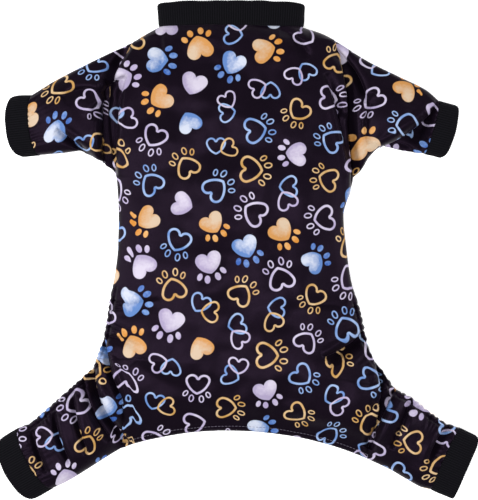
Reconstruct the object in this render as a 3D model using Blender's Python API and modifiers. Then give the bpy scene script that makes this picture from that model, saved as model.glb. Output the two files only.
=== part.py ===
# Dog jumpsuit of printed knit, lying belly down and softly puffed, with its back up.
# Metres. +Z is up, +Y points to the neck, and the dog's left is -X.
# Every cloth piece is an open sheet with a wall: rows of a puffed section, laid between two edges.

import math

import bpy
import numpy as np

# Sizes of the garment, flat on the floor
BACK_LENGTH = 0.3636  # collar seam to the middle of the rear hem
HALF_CHEST = 0.1065  # from the middle of the back to the side fold at the armpit
COLLAR_HEIGHT = 0.0228
HEM_ARCH = 0.0212  # how far the hem's middle lies forward of its two corners
SLEEVE_LENGTH = 0.0815  # armhole to cuff seam, along the middle of the sleeve
SLEEVE_CUFF_WIDTH = 0.0520
SLEEVE_CUFF_LENGTH = 0.0212
LEG_LENGTH = 0.0816  # hip seam to cuff seam, along the middle of the leg
LEG_CUFF_WIDTH = 0.0615
LEG_CUFF_LENGTH = 0.0225

# Heights of the puffed sections above the floor
BODY_HEIGHT = 0.038
NECK_HEIGHT = 0.025
COLLAR_TOP_HEIGHT = 0.021
SLEEVE_HEIGHT = 0.027
LEG_HEIGHT = 0.025
CUFF_HEIGHT = 0.021
HEM_HEIGHT = 0.013
ARMHOLE_DIP = 0.24  # how far an armhole seam lies below the middle of the back, a share of it
HIP_DIP = 0.12  # the same for a hip seam

# Cloth
PRINTED_WALL = 0.0012
RIB_WALL = 0.0024
SEAM_GAP = 0.0005  # between two pieces where a seam joins them
CORNER_EASE = 1.0  # how much wider the gap is at a seam's two ends, where the walls turn
FOLD_FULLNESS = 0.72  # power of the sine that rounds a section at a folded edge
SEAM_FULLNESS = 1.7  # the same, where the edge is a seam and the cloth runs on
FLOOR_SPREAD = 1.25  # how soon the underside meets the floor, 1 in the middle only
HEM_EASE = 1.5  # power that keeps the hem's arch near the hem
HEM_ROUND = 1.2  # power of the sine that draws the arch across the back
END_ROUND = 0.5  # power of the sine that rounds the open end of a rib band

# Main folds: how they fade, in shares of their own length and of BODY_HEIGHT
FOLD_OVERRUN = 0.25  # how far a fold runs past its two ends
FOLD_FADE = 0.35  # the stretch that it fades over there
FOLD_CLEAR = 0.46  # cloth this low isn't pressed at all
FOLD_CLEAR_RISE = 0.20  # and this much higher it is pressed in full

# Gathers of the elastic seam along the front edge of each hind leg
GATHER_PITCH = 0.0125
GATHER_DEPTH = 0.0011
GATHER_REACH = 0.20  # share of the leg's width that a gather fades over
GATHER_START = 0.04  # share of it that a gather rises over, from nothing at the edge
GATHER_LENGTH = LEG_LENGTH * 1.25  # the gathered edge, a little longer than the leg's middle
GATHER_EASE = 0.5  # power of the sine that fades the gathers towards the two seams

# Points of a section, and rows between two corners of the body
BACK_COLUMNS = 22
BELLY_COLUMNS = 13
COLLAR_COLUMNS = 20
UPRIGHT_SHARE = 0.001  # where the upright column at a panel's edge stands, a share of the row
SHOULDER_ROWS = 2
SIDE_ROWS = 8
RING_ROWS = 9
SLEEVE_ROWS = 9
CUFF_ROWS = 3
COLLAR_ROWS = 4

# The body's two edges. station: 0 neck, 1 shoulder, 2 armpit, 3 flank, 4 hem corner.
# left and right are shares of HALF_CHEST from the middle line, the downs are shares of BACK_LENGTH.
BODY_EDGES = np.array(
    [
        # station, left, left_down, right, right_down
        (0.00, 0.600, 0.000, 0.604, 0.001),
        (1.00, 0.814, 0.037, 0.862, 0.032),
        (1.18, 0.947, 0.097, 0.926, 0.087),
        (1.38, 1.036, 0.161, 0.972, 0.156),
        (1.58, 1.048, 0.230, 0.989, 0.228),
        (1.80, 1.019, 0.307, 1.002, 0.304),
        (2.00, 0.964, 0.374, 1.036, 0.374),
        (2.20, 0.947, 0.468, 0.948, 0.468),
        (2.40, 0.952, 0.545, 0.972, 0.547),
        (2.60, 0.977, 0.611, 1.010, 0.624),
        (2.75, 1.018, 0.673, 1.082, 0.696),
        (2.90, 1.069, 0.762, 1.171, 0.795),
        (3.00, 1.133, 0.819, 1.378, 0.894),
    ]
)
HIP_EDGES = np.array(
    [
        # station, left, left_down, right, right_down
        (3.00, 1.133, 0.819, 1.378, 0.894),
        (3.12, 1.023, 0.844, 1.340, 0.928),
        (3.30, 0.951, 0.884, 1.281, 0.965),
        (3.48, 0.917, 0.923, 1.221, 0.998),
        (3.75, 0.913, 0.985, 1.171, 1.030),
        (4.00, 0.938, 1.045, 1.155, 1.071),
    ]
)

# The body's height down the back, as shares of BODY_HEIGHT, and of the fold at its sides
BODY_PUFF = np.array(
    [
        # station, crown, fold
        (0.0, NECK_HEIGHT / BODY_HEIGHT, 0.30),
        (1.0, 0.84, 0.32),
        (1.5, 0.96, 0.38),
        (2.0, 1.00, 0.42),
        (2.5, 1.00, 0.44),
        (3.0, 0.96, 0.36),
        (3.4, 0.78, 0.28),
        (4.0, HEM_HEIGHT / BODY_HEIGHT, 0.15),
    ]
)

# How each limb lies. reach is a share of the limb's length, droop the angle of its middle line below
# the X axis, spread a share of the cuff's width, slant the angle of the cuff seam to the Y axis, and
# bulge how far that seam bows outwards, a share of its width.
LIMBS = {
    # name: side, root station, reach, droop, spread, slant, bulge
    "sleeve_left": (-1, 1, 1.00, 9.4, 1.05, -5.7, 0.11),
    "sleeve_right": (1, 1, 1.00, 11.7, 0.94, 15.1, 0.02),
    "leg_left": (-1, 3, 1.00, 36.9, 1.01, -29.5, 0.11),
    "leg_right": (1, 3, 0.81, 28.4, 0.99, 24.1, -0.05),
}

# Bows of a limb's two edges, as shares of the straight line from seam to cuff, outwards positive
UPPER_BOW = {
    # rows of: along, bow
    "sleeve_left": ((0.0, 0.0), (0.40, 0.012), (0.75, 0.016), (1.0, 0.0)),
    "sleeve_right": ((0.0, 0.0), (0.31, -0.015), (0.60, 0.005), (0.85, 0.025), (1.0, 0.0)),
    "leg_left": ((0.0, 0.0), (0.13, -0.047), (0.45, -0.046), (0.85, -0.043), (1.0, 0.0)),
    "leg_right": ((0.0, 0.0), (0.27, 0.011), (0.55, -0.024), (0.80, -0.040), (1.0, 0.0)),
}
LOWER_BOW = {
    # rows of: along, bow
    "sleeve_left": ((0.0, 0.0), (0.09, -0.083), (0.30, -0.150), (0.48, -0.190), (0.76, -0.093), (1.0, 0.0)),
    "sleeve_right": ((0.0, 0.0), (0.13, -0.070), (0.29, -0.200), (0.47, -0.272), (0.80, -0.105), (1.0, 0.0)),
    "leg_left": ((0.0, 0.0), (0.25, 0.006), (0.50, 0.016), (0.75, 0.021), (1.0, 0.0)),
    "leg_right": ((0.0, 0.0), (0.32, -0.003), (0.60, 0.018), (0.83, 0.033), (1.0, 0.0)),
}

# Reach of a cuff at its upper fold, its lower fold and its middle, as shares of the cuff's length
CUFF_REACH = {
    # name: upper, lower, middle
    "sleeve_left": (0.88, 0.62, 1.05),
    "sleeve_right": (0.60, 0.58, 0.88),
    "leg_left": (0.66, 0.92, 1.02),
    "leg_right": (0.58, 0.86, 1.00),
}
COLLAR_REACH = (0.82, 0.82, 1.00)

# Main folds of the upper cloth: a groove from one point to another. across is a share of HALF_CHEST
# from the middle line, down a share of BACK_LENGTH, width and depth are in metres.
FOLDS = (
    # across, down, to_across, to_down, width, depth
    (-1.00, 0.14, -0.99, 0.36, 0.0060, 0.0060),  # left armhole valley
    (-0.90, 0.10, -0.86, 0.30, 0.0090, 0.0022),  # its neighbour on the back
    (0.88, 0.06, 0.93, 0.20, 0.0060, 0.0050),  # right armhole valley
    (0.90, 0.18, 0.96, 0.36, 0.0060, 0.0050),  # lower half of the right valley
    (0.93, 0.15, 1.12, 0.21, 0.0060, 0.0040),  # branch out into the right sleeve
    (0.48, 0.02, 0.64, 0.09, 0.0050, 0.0022),  # creases from the collar's right corner
    (0.42, 0.02, 0.56, 0.14, 0.0060, 0.0018),
    (1.30, 0.30, 1.70, 0.20, 0.0060, 0.0040),  # overlap on the right sleeve
    (-1.45, 0.26, -1.24, 0.31, 0.0060, 0.0026),  # crease under the left sleeve
    (-1.13, 0.87, -0.99, 1.00, 0.0060, 0.0034),  # pleats from the left flank to the hem corner
    (-1.22, 0.88, -1.10, 1.02, 0.0060, 0.0028),
    (-1.36, 0.93, -1.24, 1.05, 0.0060, 0.0020),
    (1.38, 0.95, 1.22, 1.04, 0.0060, 0.0034),  # pleats from the right flank to the hem corner
    (1.50, 0.96, 1.32, 1.06, 0.0060, 0.0026),
    (1.66, 1.00, 1.46, 1.09, 0.0060, 0.0020),
    (-0.95, 0.74, -0.60, 0.70, 0.0080, 0.0018),  # creases in from the two flanks
    (-1.00, 0.80, -0.70, 0.80, 0.0080, 0.0018),
    (0.98, 0.74, 0.66, 0.72, 0.0080, 0.0018),
    (1.10, 0.81, 0.76, 0.82, 0.0080, 0.0018),
)

# Colours, linear
PRINTED_GROUND = (0.012, 0.009, 0.015, 1.0)
RIB_BLACK = (0.006, 0.006, 0.007, 1.0)


def through(rows, column, at):
    """A smooth curve through one column of a table: a cubic between each two rows. Its slope at a row
    is the harmonic mean of the slopes to the two neighbours, or level at a crest, so that it never
    swings out past a row."""
    rows = np.asarray(rows, float)
    knots = rows[:, 0]
    values = rows[:, column]
    steps = np.diff(values) / np.diff(knots)
    slopes = np.concatenate([steps[:1], np.zeros(len(steps) - 1), steps[-1:]])
    for row in range(1, len(steps)):
        before, after = steps[row - 1], steps[row]
        if before * after > 0:
            slopes[row] = 2 * before * after / (before + after)
    at = np.clip(np.asarray(at, float), knots[0], knots[-1])
    span = np.clip(np.searchsorted(knots, at, side="right") - 1, 0, len(knots) - 2)
    size = knots[span + 1] - knots[span]
    t = (at - knots[span]) / size
    return (
        (1 + 2 * t) * (1 - t) ** 2 * values[span]
        + t * (1 - t) ** 2 * size * slopes[span]
        + t**2 * (3 - 2 * t) * values[span + 1]
        + t**2 * (t - 1) * size * slopes[span + 1]
    )


def round_shares(count):
    """Shares of the way across a section, spaced like points round half a circle."""
    return (1 - np.cos(np.pi * np.linspace(0, 1, count + 1))) / 2


def arc(share):
    """Height of a half circle, from 0 at its two ends to 1 in the middle."""
    return 2 * np.sqrt(np.clip(share * (1 - share), 0, None))


def body_edge(side, station):
    """Plan points of the body's left (-1) or right (1) edge at some stations."""
    station = np.asarray(station, float)
    column = 1 if side < 0 else 3
    over_hip = station > 3
    out = np.where(over_hip, through(HIP_EDGES, column, station), through(BODY_EDGES, column, station))
    down = np.where(
        over_hip, through(HIP_EDGES, column + 1, station), through(BODY_EDGES, column + 1, station)
    )
    return np.stack([side * out * HALF_CHEST, -down * BACK_LENGTH], axis=-1)


def fold_height(station):
    return through(BODY_PUFF, 2, station) * BODY_HEIGHT


def crown_height(station):
    return through(BODY_PUFF, 1, station) * BODY_HEIGHT


def edge_height(station):
    """Height of the back panel's side edge: the fold's own along a fold, and along an armhole or a
    hip an arc over the limb, a little lower than the middle of the back."""
    dip = np.where(np.asarray(station) < 3, ARMHOLE_DIP, HIP_DIP)
    over_limb = crown_height(station) * (1 - dip)
    return upper_height(fold_height(station), over_limb, seam_share(station), FOLD_FULLNESS)


def upper_height(fold, crown, share, fullness):
    return fold + (crown - fold) * arc(share) ** fullness


def under_height(fold, share):
    """The underside leaves the fold as round as the upper side and then lies flat on the floor."""
    drop = FLOOR_SPREAD * arc(share) ** FOLD_FULLNESS
    return fold * (1 - np.minimum(drop, 1.0))


def body_stations():
    """Stations of the body's rows. Between shoulder and armpit, and between flank and hem corner,
    they are the points of the limb's seam, so that the two pieces meet point to point."""
    ring = round_shares(RING_ROWS)[1:]
    shoulder = np.linspace(0, 1, SHOULDER_ROWS + 1)
    side = 2 + np.arange(1, SIDE_ROWS + 1) / SIDE_ROWS
    return np.concatenate([shoulder, 1 + ring, side, 3 + ring])


def seam_share(station):
    """How far along a limb's seam a station of the body lies, or 0 where the edge is a fold."""
    station = np.asarray(station, float)
    over_arm = (station > 1) & (station < 2)
    return np.where(over_arm, station - 1, np.where(station > 3, station - 3, 0.0))


def panel_shares(columns, seamed):
    """Shares of a panel's columns in each row. Between two folds they are spaced like points round
    half a circle, with one more at each edge where the cloth stands upright, so that the walls of the
    two panels meet squarely. Between two seams they are spaced evenly."""
    inner = round_shares(columns - 2)[1:-1]
    rounded = np.concatenate([[0.0, UPRIGHT_SHARE], inner, [1 - UPRIGHT_SHARE, 1.0]])
    even = np.linspace(0, 1, columns + 1)
    return rounded + (even - rounded) * seamed[:, None] ** 2


def body_panel(stations, columns, upper):
    """A grid of points over the back, or under the belly, from the left edge to the right one."""
    seamed = arc(seam_share(stations))
    share = panel_shares(columns, seamed)
    left = body_edge(-1, stations)[:, None, :]
    right = body_edge(1, stations)[:, None, :]
    plan = left + (right - left) * share[..., None]
    forward = HEM_ARCH * np.clip((stations - 2) / 2, 0, 1) ** HEM_EASE
    plan[..., 1] += forward[:, None] * arc(share) ** HEM_ROUND
    if upper:
        edge = edge_height(stations)[:, None] + SEAM_GAP / 2
        middle = crown_height(stations)[:, None]
        fullness = FOLD_FULLNESS + (SEAM_FULLNESS - FOLD_FULLNESS) * seamed[:, None]
        height = folded(plan, upper_height(edge, middle, share, fullness))
    else:
        edge = under_height(fold_height(stations), seam_share(stations))[:, None] - SEAM_GAP / 2
        height = np.maximum(under_height(edge, share), 0.0)
    return np.concatenate([plan, height[..., None]], axis=-1)


def folded(plan, height):
    """Presses the main folds into the upper cloth. A groove is a bell across its line and fades at
    its two ends, and it spares the low cloth next to the floor."""
    scale = np.array([HALF_CHEST, -BACK_LENGTH])
    deep = np.zeros(height.shape)
    for across, down, to_across, to_down, width, depth in FOLDS:
        start = np.array([across, down]) * scale
        line = np.array([to_across, to_down]) * scale - start
        length = math.hypot(*line)
        along = ((plan - start) @ line) / length**2
        off = ((plan - start) @ np.array([-line[1], line[0]])) / length
        ends = np.clip((np.minimum(along, 1 - along) + FOLD_OVERRUN) / FOLD_FADE, 0, 1)
        deep += depth * ends * np.exp(-((off / width) ** 2))
    clear = np.clip((height / BODY_HEIGHT - FOLD_CLEAR) / FOLD_CLEAR_RISE, 0, 1)
    return height - deep * clear


def bowed(start, end, rows, along, outward):
    """An edge of a limb: the straight line from seam to cuff, bowed by its table."""
    line = end - start
    normal = np.array([line[1], -line[0]])
    normal *= math.copysign(1.0, normal @ outward)
    bow = through(rows, 1, along)[:, None]
    return start + line * along[:, None] + normal * bow


def limb_plan(name):
    """Where a limb lies: its direction, its cuff seam's two corners and how far that seam bulges."""
    side, root, reach, droop, spread, slant, bulge = LIMBS[name]
    long = SLEEVE_LENGTH if root == 1 else LEG_LENGTH
    wide = spread * (SLEEVE_CUFF_WIDTH if root == 1 else LEG_CUFF_WIDTH)
    middle = body_edge(side, np.array([root, root + 1.0])).mean(axis=0)
    away = np.array([side * math.cos(math.radians(droop)), -math.sin(math.radians(droop))])
    seam = np.array([-math.sin(math.radians(slant)), -math.cos(math.radians(slant))]) * wide / 2
    end = middle + away * long * reach
    across_seam = np.array([side * abs(seam[1]), -side * seam[0] * math.copysign(1.0, seam[1])])
    out = across_seam / math.hypot(*across_seam)
    return end - seam, end + seam, out, bulge * wide


def seam_curve(name, share):
    """Plan points of the seam between a limb and its cuff."""
    high, low, out, bulge = limb_plan(name)
    return high + (low - high) * share[:, None] + out * bulge * arc(share)[:, None]


def limb_surface(name, rows, share, upper):
    """Half of a limb's tube: plan points between its four edges, and puffed sections into which the
    height of the body's seam fades."""
    side, root = LIMBS[name][:2]
    along = np.linspace(0, 1, rows + 1)
    stations = root + share
    ring_plan = body_edge(side, stations)
    apart = ring_plan[-1] - ring_plan[0]
    off_seam = np.array([apart[1], -apart[0]]) / math.hypot(*apart)
    off_seam *= math.copysign(1.0, off_seam[0] * side)
    ease = 1 + CORNER_EASE * (1 - arc(share)[:, None] ** 2)
    ring_plan = ring_plan + off_seam * SEAM_GAP * ease
    seam_plan = seam_curve(name, share)
    upper_edge = bowed(ring_plan[0], seam_plan[0], UPPER_BOW[name], along, np.array([0.0, 1.0]))
    lower_edge = bowed(ring_plan[-1], seam_plan[-1], LOWER_BOW[name], along, np.array([0.0, -1.0]))
    far = along[:, None, None]
    across = share[None, :, None]
    plan = (
        upper_edge[:, None, :] * (1 - across)
        + lower_edge[:, None, :] * across
        + (ring_plan - straight(ring_plan, share)) * (1 - far)
        + (seam_plan - straight(seam_plan, share)) * far
    )
    middle = SLEEVE_HEIGHT if root == 1 else LEG_HEIGHT
    crowns = through(((0, middle), (0.5, middle), (1, CUFF_HEIGHT)), 1, along)[:, None]
    far = along[:, None]
    fold = fold_height(stations) * (1 - far) + CUFF_HEIGHT / 2 * far
    if upper:
        height = upper_height(fold, crowns, share, FOLD_FULLNESS)
        height = height + (edge_height(stations) - height[0]) * (1 - far) ** 2
        if root == 3:
            height = gathered(height, along, share)
        height = folded(plan, height)
    else:
        height = under_height(fold, share)
    return np.concatenate([plan, height[..., None]], axis=-1)


def straight(curve, share):
    """The straight line between a curve's two ends, at the same shares."""
    return curve[0] + (curve[-1] - curve[0]) * share[:, None]


def gather_count():
    return max(1, round(GATHER_LENGTH / GATHER_PITCH))


def gathered(height, along, share):
    """Ruffles the cloth next to a leg's front edge: ridges across the edge that fade inwards and
    towards the two seams."""
    wave = np.cos(2 * np.pi * gather_count() * along) * np.sin(np.pi * along) ** GATHER_EASE
    near = np.exp(-share / GATHER_REACH) * np.clip(share / GATHER_START, 0, 1)
    return height + GATHER_DEPTH * wave[:, None] * near[None, :]


def tube(upper, under):
    """Joins an upper and an under grid, which share their two outer columns, into one ring of columns."""
    return np.concatenate([upper, under[:, -2:0:-1]], axis=1)


def limb(name, rows):
    share = round_shares(RING_ROWS)
    return tube(limb_surface(name, rows, share, True), limb_surface(name, rows, share, False))


def band(seam_plan, out, length, reach, fold, crowns, share):
    """A rib band that lies flat: its seam's points carried outwards, less far at its two folds."""
    upper_reach, lower_reach, middle_reach = reach
    full = upper_reach * (1 - share) + lower_reach * share
    full = full + (middle_reach - full) * arc(share) ** END_ROUND
    along = np.linspace(0, 1, len(crowns))[:, None]
    plan = seam_plan + out * (SEAM_GAP + length * along * full)[..., None]
    upper = upper_height(fold[:, None], crowns[:, None], share, FOLD_FULLNESS)
    under = under_height(fold[:, None], share)
    grids = [np.concatenate([plan, height[..., None]], axis=-1) for height in (upper, under)]
    return tube(*grids)


def cuff(name):
    share = round_shares(RING_ROWS)
    out = limb_plan(name)[2]
    length = SLEEVE_CUFF_LENGTH if LIMBS[name][1] == 1 else LEG_CUFF_LENGTH
    crowns = np.full(CUFF_ROWS + 1, CUFF_HEIGHT)
    return band(seam_curve(name, share), out, length, CUFF_REACH[name], crowns / 2, crowns, share)


def collar():
    share = round_shares(COLLAR_COLUMNS)
    left, right = body_edge(-1, 0.0), body_edge(1, 0.0)
    seam_plan = left + (right - left) * share[:, None]
    crowns = np.linspace(NECK_HEIGHT, COLLAR_TOP_HEIGHT, COLLAR_ROWS + 1)
    fold = np.linspace(fold_height(0.0), COLLAR_TOP_HEIGHT / 2, COLLAR_ROWS + 1)
    towards_head = np.array([0.0, 1.0])
    return band(seam_plan, towards_head, COLLAR_HEIGHT, COLLAR_REACH, fold, crowns, share)


def all_grids():
    """Every piece as a grid of points, whether the grid closes into a ring, and its wall."""
    stations = body_stations()
    belly_end = SHOULDER_ROWS + RING_ROWS + SIDE_ROWS + 1 + RING_ROWS // 3
    grids = {
        "collar": (collar(), True, RIB_WALL),
        "back_panel": (body_panel(stations, BACK_COLUMNS, True), False, PRINTED_WALL),
        "belly_panel": (body_panel(stations[:belly_end], BELLY_COLUMNS, False), False, PRINTED_WALL),
    }
    for name in LIMBS:
        part, side = name.split("_")
        rows = SLEEVE_ROWS if part == "sleeve" else 4 * gather_count()
        grids[name] = (limb(name, rows), True, PRINTED_WALL)
        grids[f"{part}_cuff_{side}"] = (cuff(name), True, RIB_WALL)
    return grids


def grid_faces(rows, columns, closed):
    """Quads over a grid of points, numbered row by row."""
    start = np.arange(rows - 1)[:, None] * columns
    here = np.arange(columns if closed else columns - 1)[None, :]
    beside = (here + 1) % columns
    corners = (start + here, start + beside, start + columns + beside, start + columns + here)
    return np.stack(corners, axis=-1).reshape(-1, 4)


def faces_point_out(points, faces):
    """True if the faces turn away from the middle of their own points: a sum over all faces of the area
    that each turns outwards. On a panel it tells the upper side of the arch from its lower side."""
    quads = points[faces]
    normals = np.cross(quads[:, 2] - quads[:, 0], quads[:, 3] - quads[:, 1])
    away = quads.mean(axis=1) - points.mean(axis=0)
    return float((normals * away).sum()) > 0


def clear_scene():
    for item in list(bpy.data.objects):
        bpy.data.objects.remove(item, do_unlink=True)


def knit_material(name, colour, roughness, sheen):
    material = bpy.data.materials.new(name)
    material.use_nodes = True
    shader = material.node_tree.nodes["Principled BSDF"]
    shader.inputs["Base Color"].default_value = colour
    shader.inputs["Roughness"].default_value = roughness
    shader.inputs["Metallic"].default_value = 0.0
    shader.inputs["Sheen Weight"].default_value = sheen
    return material


def add_piece(name, points, closed, wall, collection):
    rows, columns = points.shape[:2]
    flat = points.reshape(-1, 3)
    faces = grid_faces(rows, columns, closed)
    if not faces_point_out(flat, faces):
        faces = faces[:, ::-1]
    mesh = bpy.data.meshes.new(name)
    mesh.from_pydata(flat.tolist(), [], faces.tolist())
    mesh.shade_smooth()
    piece = bpy.data.objects.new(name, mesh)
    collection.objects.link(piece)
    solidify = piece.modifiers.new("Wall", "SOLIDIFY")
    solidify.thickness = wall
    solidify.offset = -1.0
    solidify.use_even_offset = False
    ribbed = wall == RIB_WALL
    colour = RIB_BLACK if ribbed else PRINTED_GROUND
    mesh.materials.append(knit_material(name, colour, 0.9 if ribbed else 0.55, 0.3))


def build():
    clear_scene()
    collection = bpy.data.collections.new("dog_jumpsuit")
    bpy.context.scene.collection.children.link(collection)
    grids = all_grids()
    everything = np.concatenate([grid[0].reshape(-1, 3) for grid in grids.values()])
    centre = (everything.min(axis=0) + everything.max(axis=0)) / 2
    centre[2] = 0.0
    for name, (points, closed, wall) in grids.items():
        add_piece(name, points - centre, closed, wall, collection)


build()
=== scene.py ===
import math

import bpy
import numpy as np
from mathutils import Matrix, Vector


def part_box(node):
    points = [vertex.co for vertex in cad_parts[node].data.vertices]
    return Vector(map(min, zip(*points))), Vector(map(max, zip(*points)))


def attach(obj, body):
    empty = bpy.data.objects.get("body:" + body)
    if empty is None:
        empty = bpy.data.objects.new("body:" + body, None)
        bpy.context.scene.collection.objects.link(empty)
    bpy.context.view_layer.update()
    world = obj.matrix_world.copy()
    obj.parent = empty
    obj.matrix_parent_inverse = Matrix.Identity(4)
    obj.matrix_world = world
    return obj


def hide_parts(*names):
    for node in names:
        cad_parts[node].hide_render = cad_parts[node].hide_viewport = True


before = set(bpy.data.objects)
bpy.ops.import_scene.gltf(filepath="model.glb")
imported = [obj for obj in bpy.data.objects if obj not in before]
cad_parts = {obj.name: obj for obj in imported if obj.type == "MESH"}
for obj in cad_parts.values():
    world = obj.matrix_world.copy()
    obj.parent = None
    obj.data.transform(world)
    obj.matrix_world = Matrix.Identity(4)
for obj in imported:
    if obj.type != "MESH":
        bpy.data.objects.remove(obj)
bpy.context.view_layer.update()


# Printed body
# The body is two panels of thin brushed knit, printed on the outer side and pale on the inner one.
# The back panel runs from the neck seam to a turned rear hem, and the belly panel stops short of it.
# They meet at the side folds, and the limbs are sewn into the edges between.
MM = 0.001
BACK_LENGTH = 0.3636  # collar seam to the middle of the rear hem
HALF_CHEST = 0.1065  # middle of the back to the side fold at the armpit
BODY_HEIGHT = 0.038
NECK_HEIGHT = 0.025
HEM_HEIGHT = 0.013
HEM_ARCH = 0.0212
ARMHOLE_DIP = 0.24
HIP_DIP = 0.12
FOLD_FULLNESS = 0.72
SEAM_FULLNESS = 1.7
FLOOR_SPREAD = 1.25
PRINTED_WALL = 0.0011
BACK_STEP = 1.6 * MM  # side of a mesh quad on the back
BELLY_STEP = 3.0 * MM

# The frame's origin is the middle of the whole outline, and the cloth is drawn from the middle of
# the neck seam, so every mesh is moved by this much at the end.
collar_low, collar_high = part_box("collar")
NECK_MIDDLE = np.array([(collar_low.x + collar_high.x) / 2 - 0.002 * HALF_CHEST, collar_low.y, 0.0])

BODY_EDGES = np.array(
    [
        # station, left, left_down, right, right_down, as shares of HALF_CHEST and BACK_LENGTH
        (0.00, 0.600, 0.000, 0.604, 0.001),
        (1.00, 0.814, 0.037, 0.862, 0.032),
        (1.18, 0.947, 0.097, 0.926, 0.087),
        (1.38, 1.036, 0.161, 0.972, 0.156),
        (1.58, 1.048, 0.230, 0.989, 0.228),
        (1.80, 1.019, 0.307, 1.002, 0.304),
        (2.00, 0.964, 0.374, 1.036, 0.374),
        (2.20, 0.947, 0.468, 0.948, 0.468),
        (2.40, 0.952, 0.545, 0.972, 0.547),
        (2.60, 0.977, 0.611, 1.010, 0.624),
        (2.75, 1.018, 0.673, 1.082, 0.696),
        (2.90, 1.069, 0.762, 1.171, 0.795),
        (3.00, 1.133, 0.819, 1.378, 0.894),
    ]
)
HIP_EDGES = np.array(
    [
        # station, left, left_down, right, right_down
        (3.00, 1.133, 0.819, 1.378, 0.894),
        (3.12, 1.023, 0.844, 1.340, 0.928),
        (3.30, 0.951, 0.884, 1.281, 0.965),
        (3.48, 0.917, 0.923, 1.221, 0.998),
        (3.75, 0.913, 0.985, 1.171, 1.030),
        (4.00, 0.938, 1.045, 1.155, 1.071),
    ]
)
BODY_PUFF = np.array(
    [
        # station, crown, fold, as shares of BODY_HEIGHT
        (0.0, NECK_HEIGHT / BODY_HEIGHT, 0.30),
        (1.0, 0.84, 0.32),
        (1.5, 0.96, 0.38),
        (2.0, 1.00, 0.42),
        (2.5, 1.00, 0.44),
        (3.0, 0.96, 0.36),
        (3.4, 0.78, 0.28),
        (4.0, HEM_HEIGHT / BODY_HEIGHT, 0.15),
    ]
)


def through(rows, column, at):
    """A cubic between each two rows of a table, with the harmonic mean of the neighbouring slopes at
    each row, so that the curve never swings out past a row."""
    rows = np.asarray(rows, float)
    knots, values = rows[:, 0], rows[:, column]
    steps = np.diff(values) / np.diff(knots)
    before, after = steps[:-1], steps[1:]
    same_way = before * after > 0
    inner = np.where(same_way, 2 * before * after / np.where(same_way, before + after, 1.0), 0.0)
    slopes = np.concatenate([steps[:1], inner, steps[-1:]])
    at = np.clip(np.asarray(at, float), knots[0], knots[-1])
    span = np.clip(np.searchsorted(knots, at, side="right") - 1, 0, len(knots) - 2)
    size = knots[span + 1] - knots[span]
    t = (at - knots[span]) / size
    return (
        (1 + 2 * t) * (1 - t) ** 2 * values[span]
        + t * (1 - t) ** 2 * size * slopes[span]
        + t**2 * (3 - 2 * t) * values[span + 1]
        + t**2 * (t - 1) * size * slopes[span + 1]
    )


def arc(share):
    """Height of a half circle over its width: twice the root of share times one minus share."""
    return 2 * np.sqrt(np.clip(share * (1 - share), 0, None))


def body_edge(side, station):
    """Plan points of the body's left (-1) or right (1) edge, read from the two tables of edges."""
    station = np.asarray(station, float)
    column = 1 if side < 0 else 3
    over_hip = station > 3
    out = np.where(over_hip, through(HIP_EDGES, column, station), through(BODY_EDGES, column, station))
    down = np.where(
        over_hip, through(HIP_EDGES, column + 1, station), through(BODY_EDGES, column + 1, station)
    )
    return np.stack([side * out * HALF_CHEST, -down * BACK_LENGTH], axis=-1)


def seam_share(station):
    """Share of the way down an armhole (stations 1 to 2) or a hip (3 to 4), and 0 on a side fold."""
    station = np.asarray(station, float)
    over_arm = (station > 1) & (station < 2)
    return np.where(over_arm, station - 1, np.where(station > 3, station - 3, 0.0))


def upper_height(fold, crown, share, fullness):
    """A puffed section: from the fold up to the crown by a power of the half circle."""
    return fold + (crown - fold) * arc(share) ** fullness


def under_height(fold, share):
    """The underside drops from the fold to the floor as round as the upper side, then lies flat."""
    return fold * (1 - np.minimum(FLOOR_SPREAD * arc(share) ** FOLD_FULLNESS, 1.0))


def edge_height(station):
    """Height of the back panel's side edge: the fold's, or an arc over the limb along its seam."""
    dip = np.where(np.asarray(station) < 3, ARMHOLE_DIP, HIP_DIP)
    fold = through(BODY_PUFF, 2, station) * BODY_HEIGHT
    over_limb = through(BODY_PUFF, 1, station) * BODY_HEIGHT * (1 - dip)
    return upper_height(fold, over_limb, seam_share(station), FOLD_FULLNESS)


def even_stations(first, last, step):
    """Stations whose rows lie about one step apart, by the mean length of the body's two edges, and
    closer together at the gathered flanks."""
    dense = np.linspace(first, last, 1500)
    left, right = body_edge(-1, dense), body_edge(1, dense)
    moved = np.mean([np.hypot(*np.diff(edge, axis=0).T) for edge in (left, right)], axis=0)
    closer = 1 + 0.8 * np.exp(-(((dense[1:] - 2.8) / 0.3) ** 2))
    length = np.concatenate([[0.0], np.cumsum(moved * closer)])
    count = max(2, round(length[-1] / step))
    return np.interp(np.linspace(0, length[-1], count + 1), length, dense)


def panel_shares(count):
    """Shares across a panel, closer together towards its two edges, where it curves down."""
    even = np.linspace(0, 1, count + 1)
    rounded = (1 - np.cos(np.pi * even)) / 2
    return even + (rounded - even) * 0.7


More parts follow.
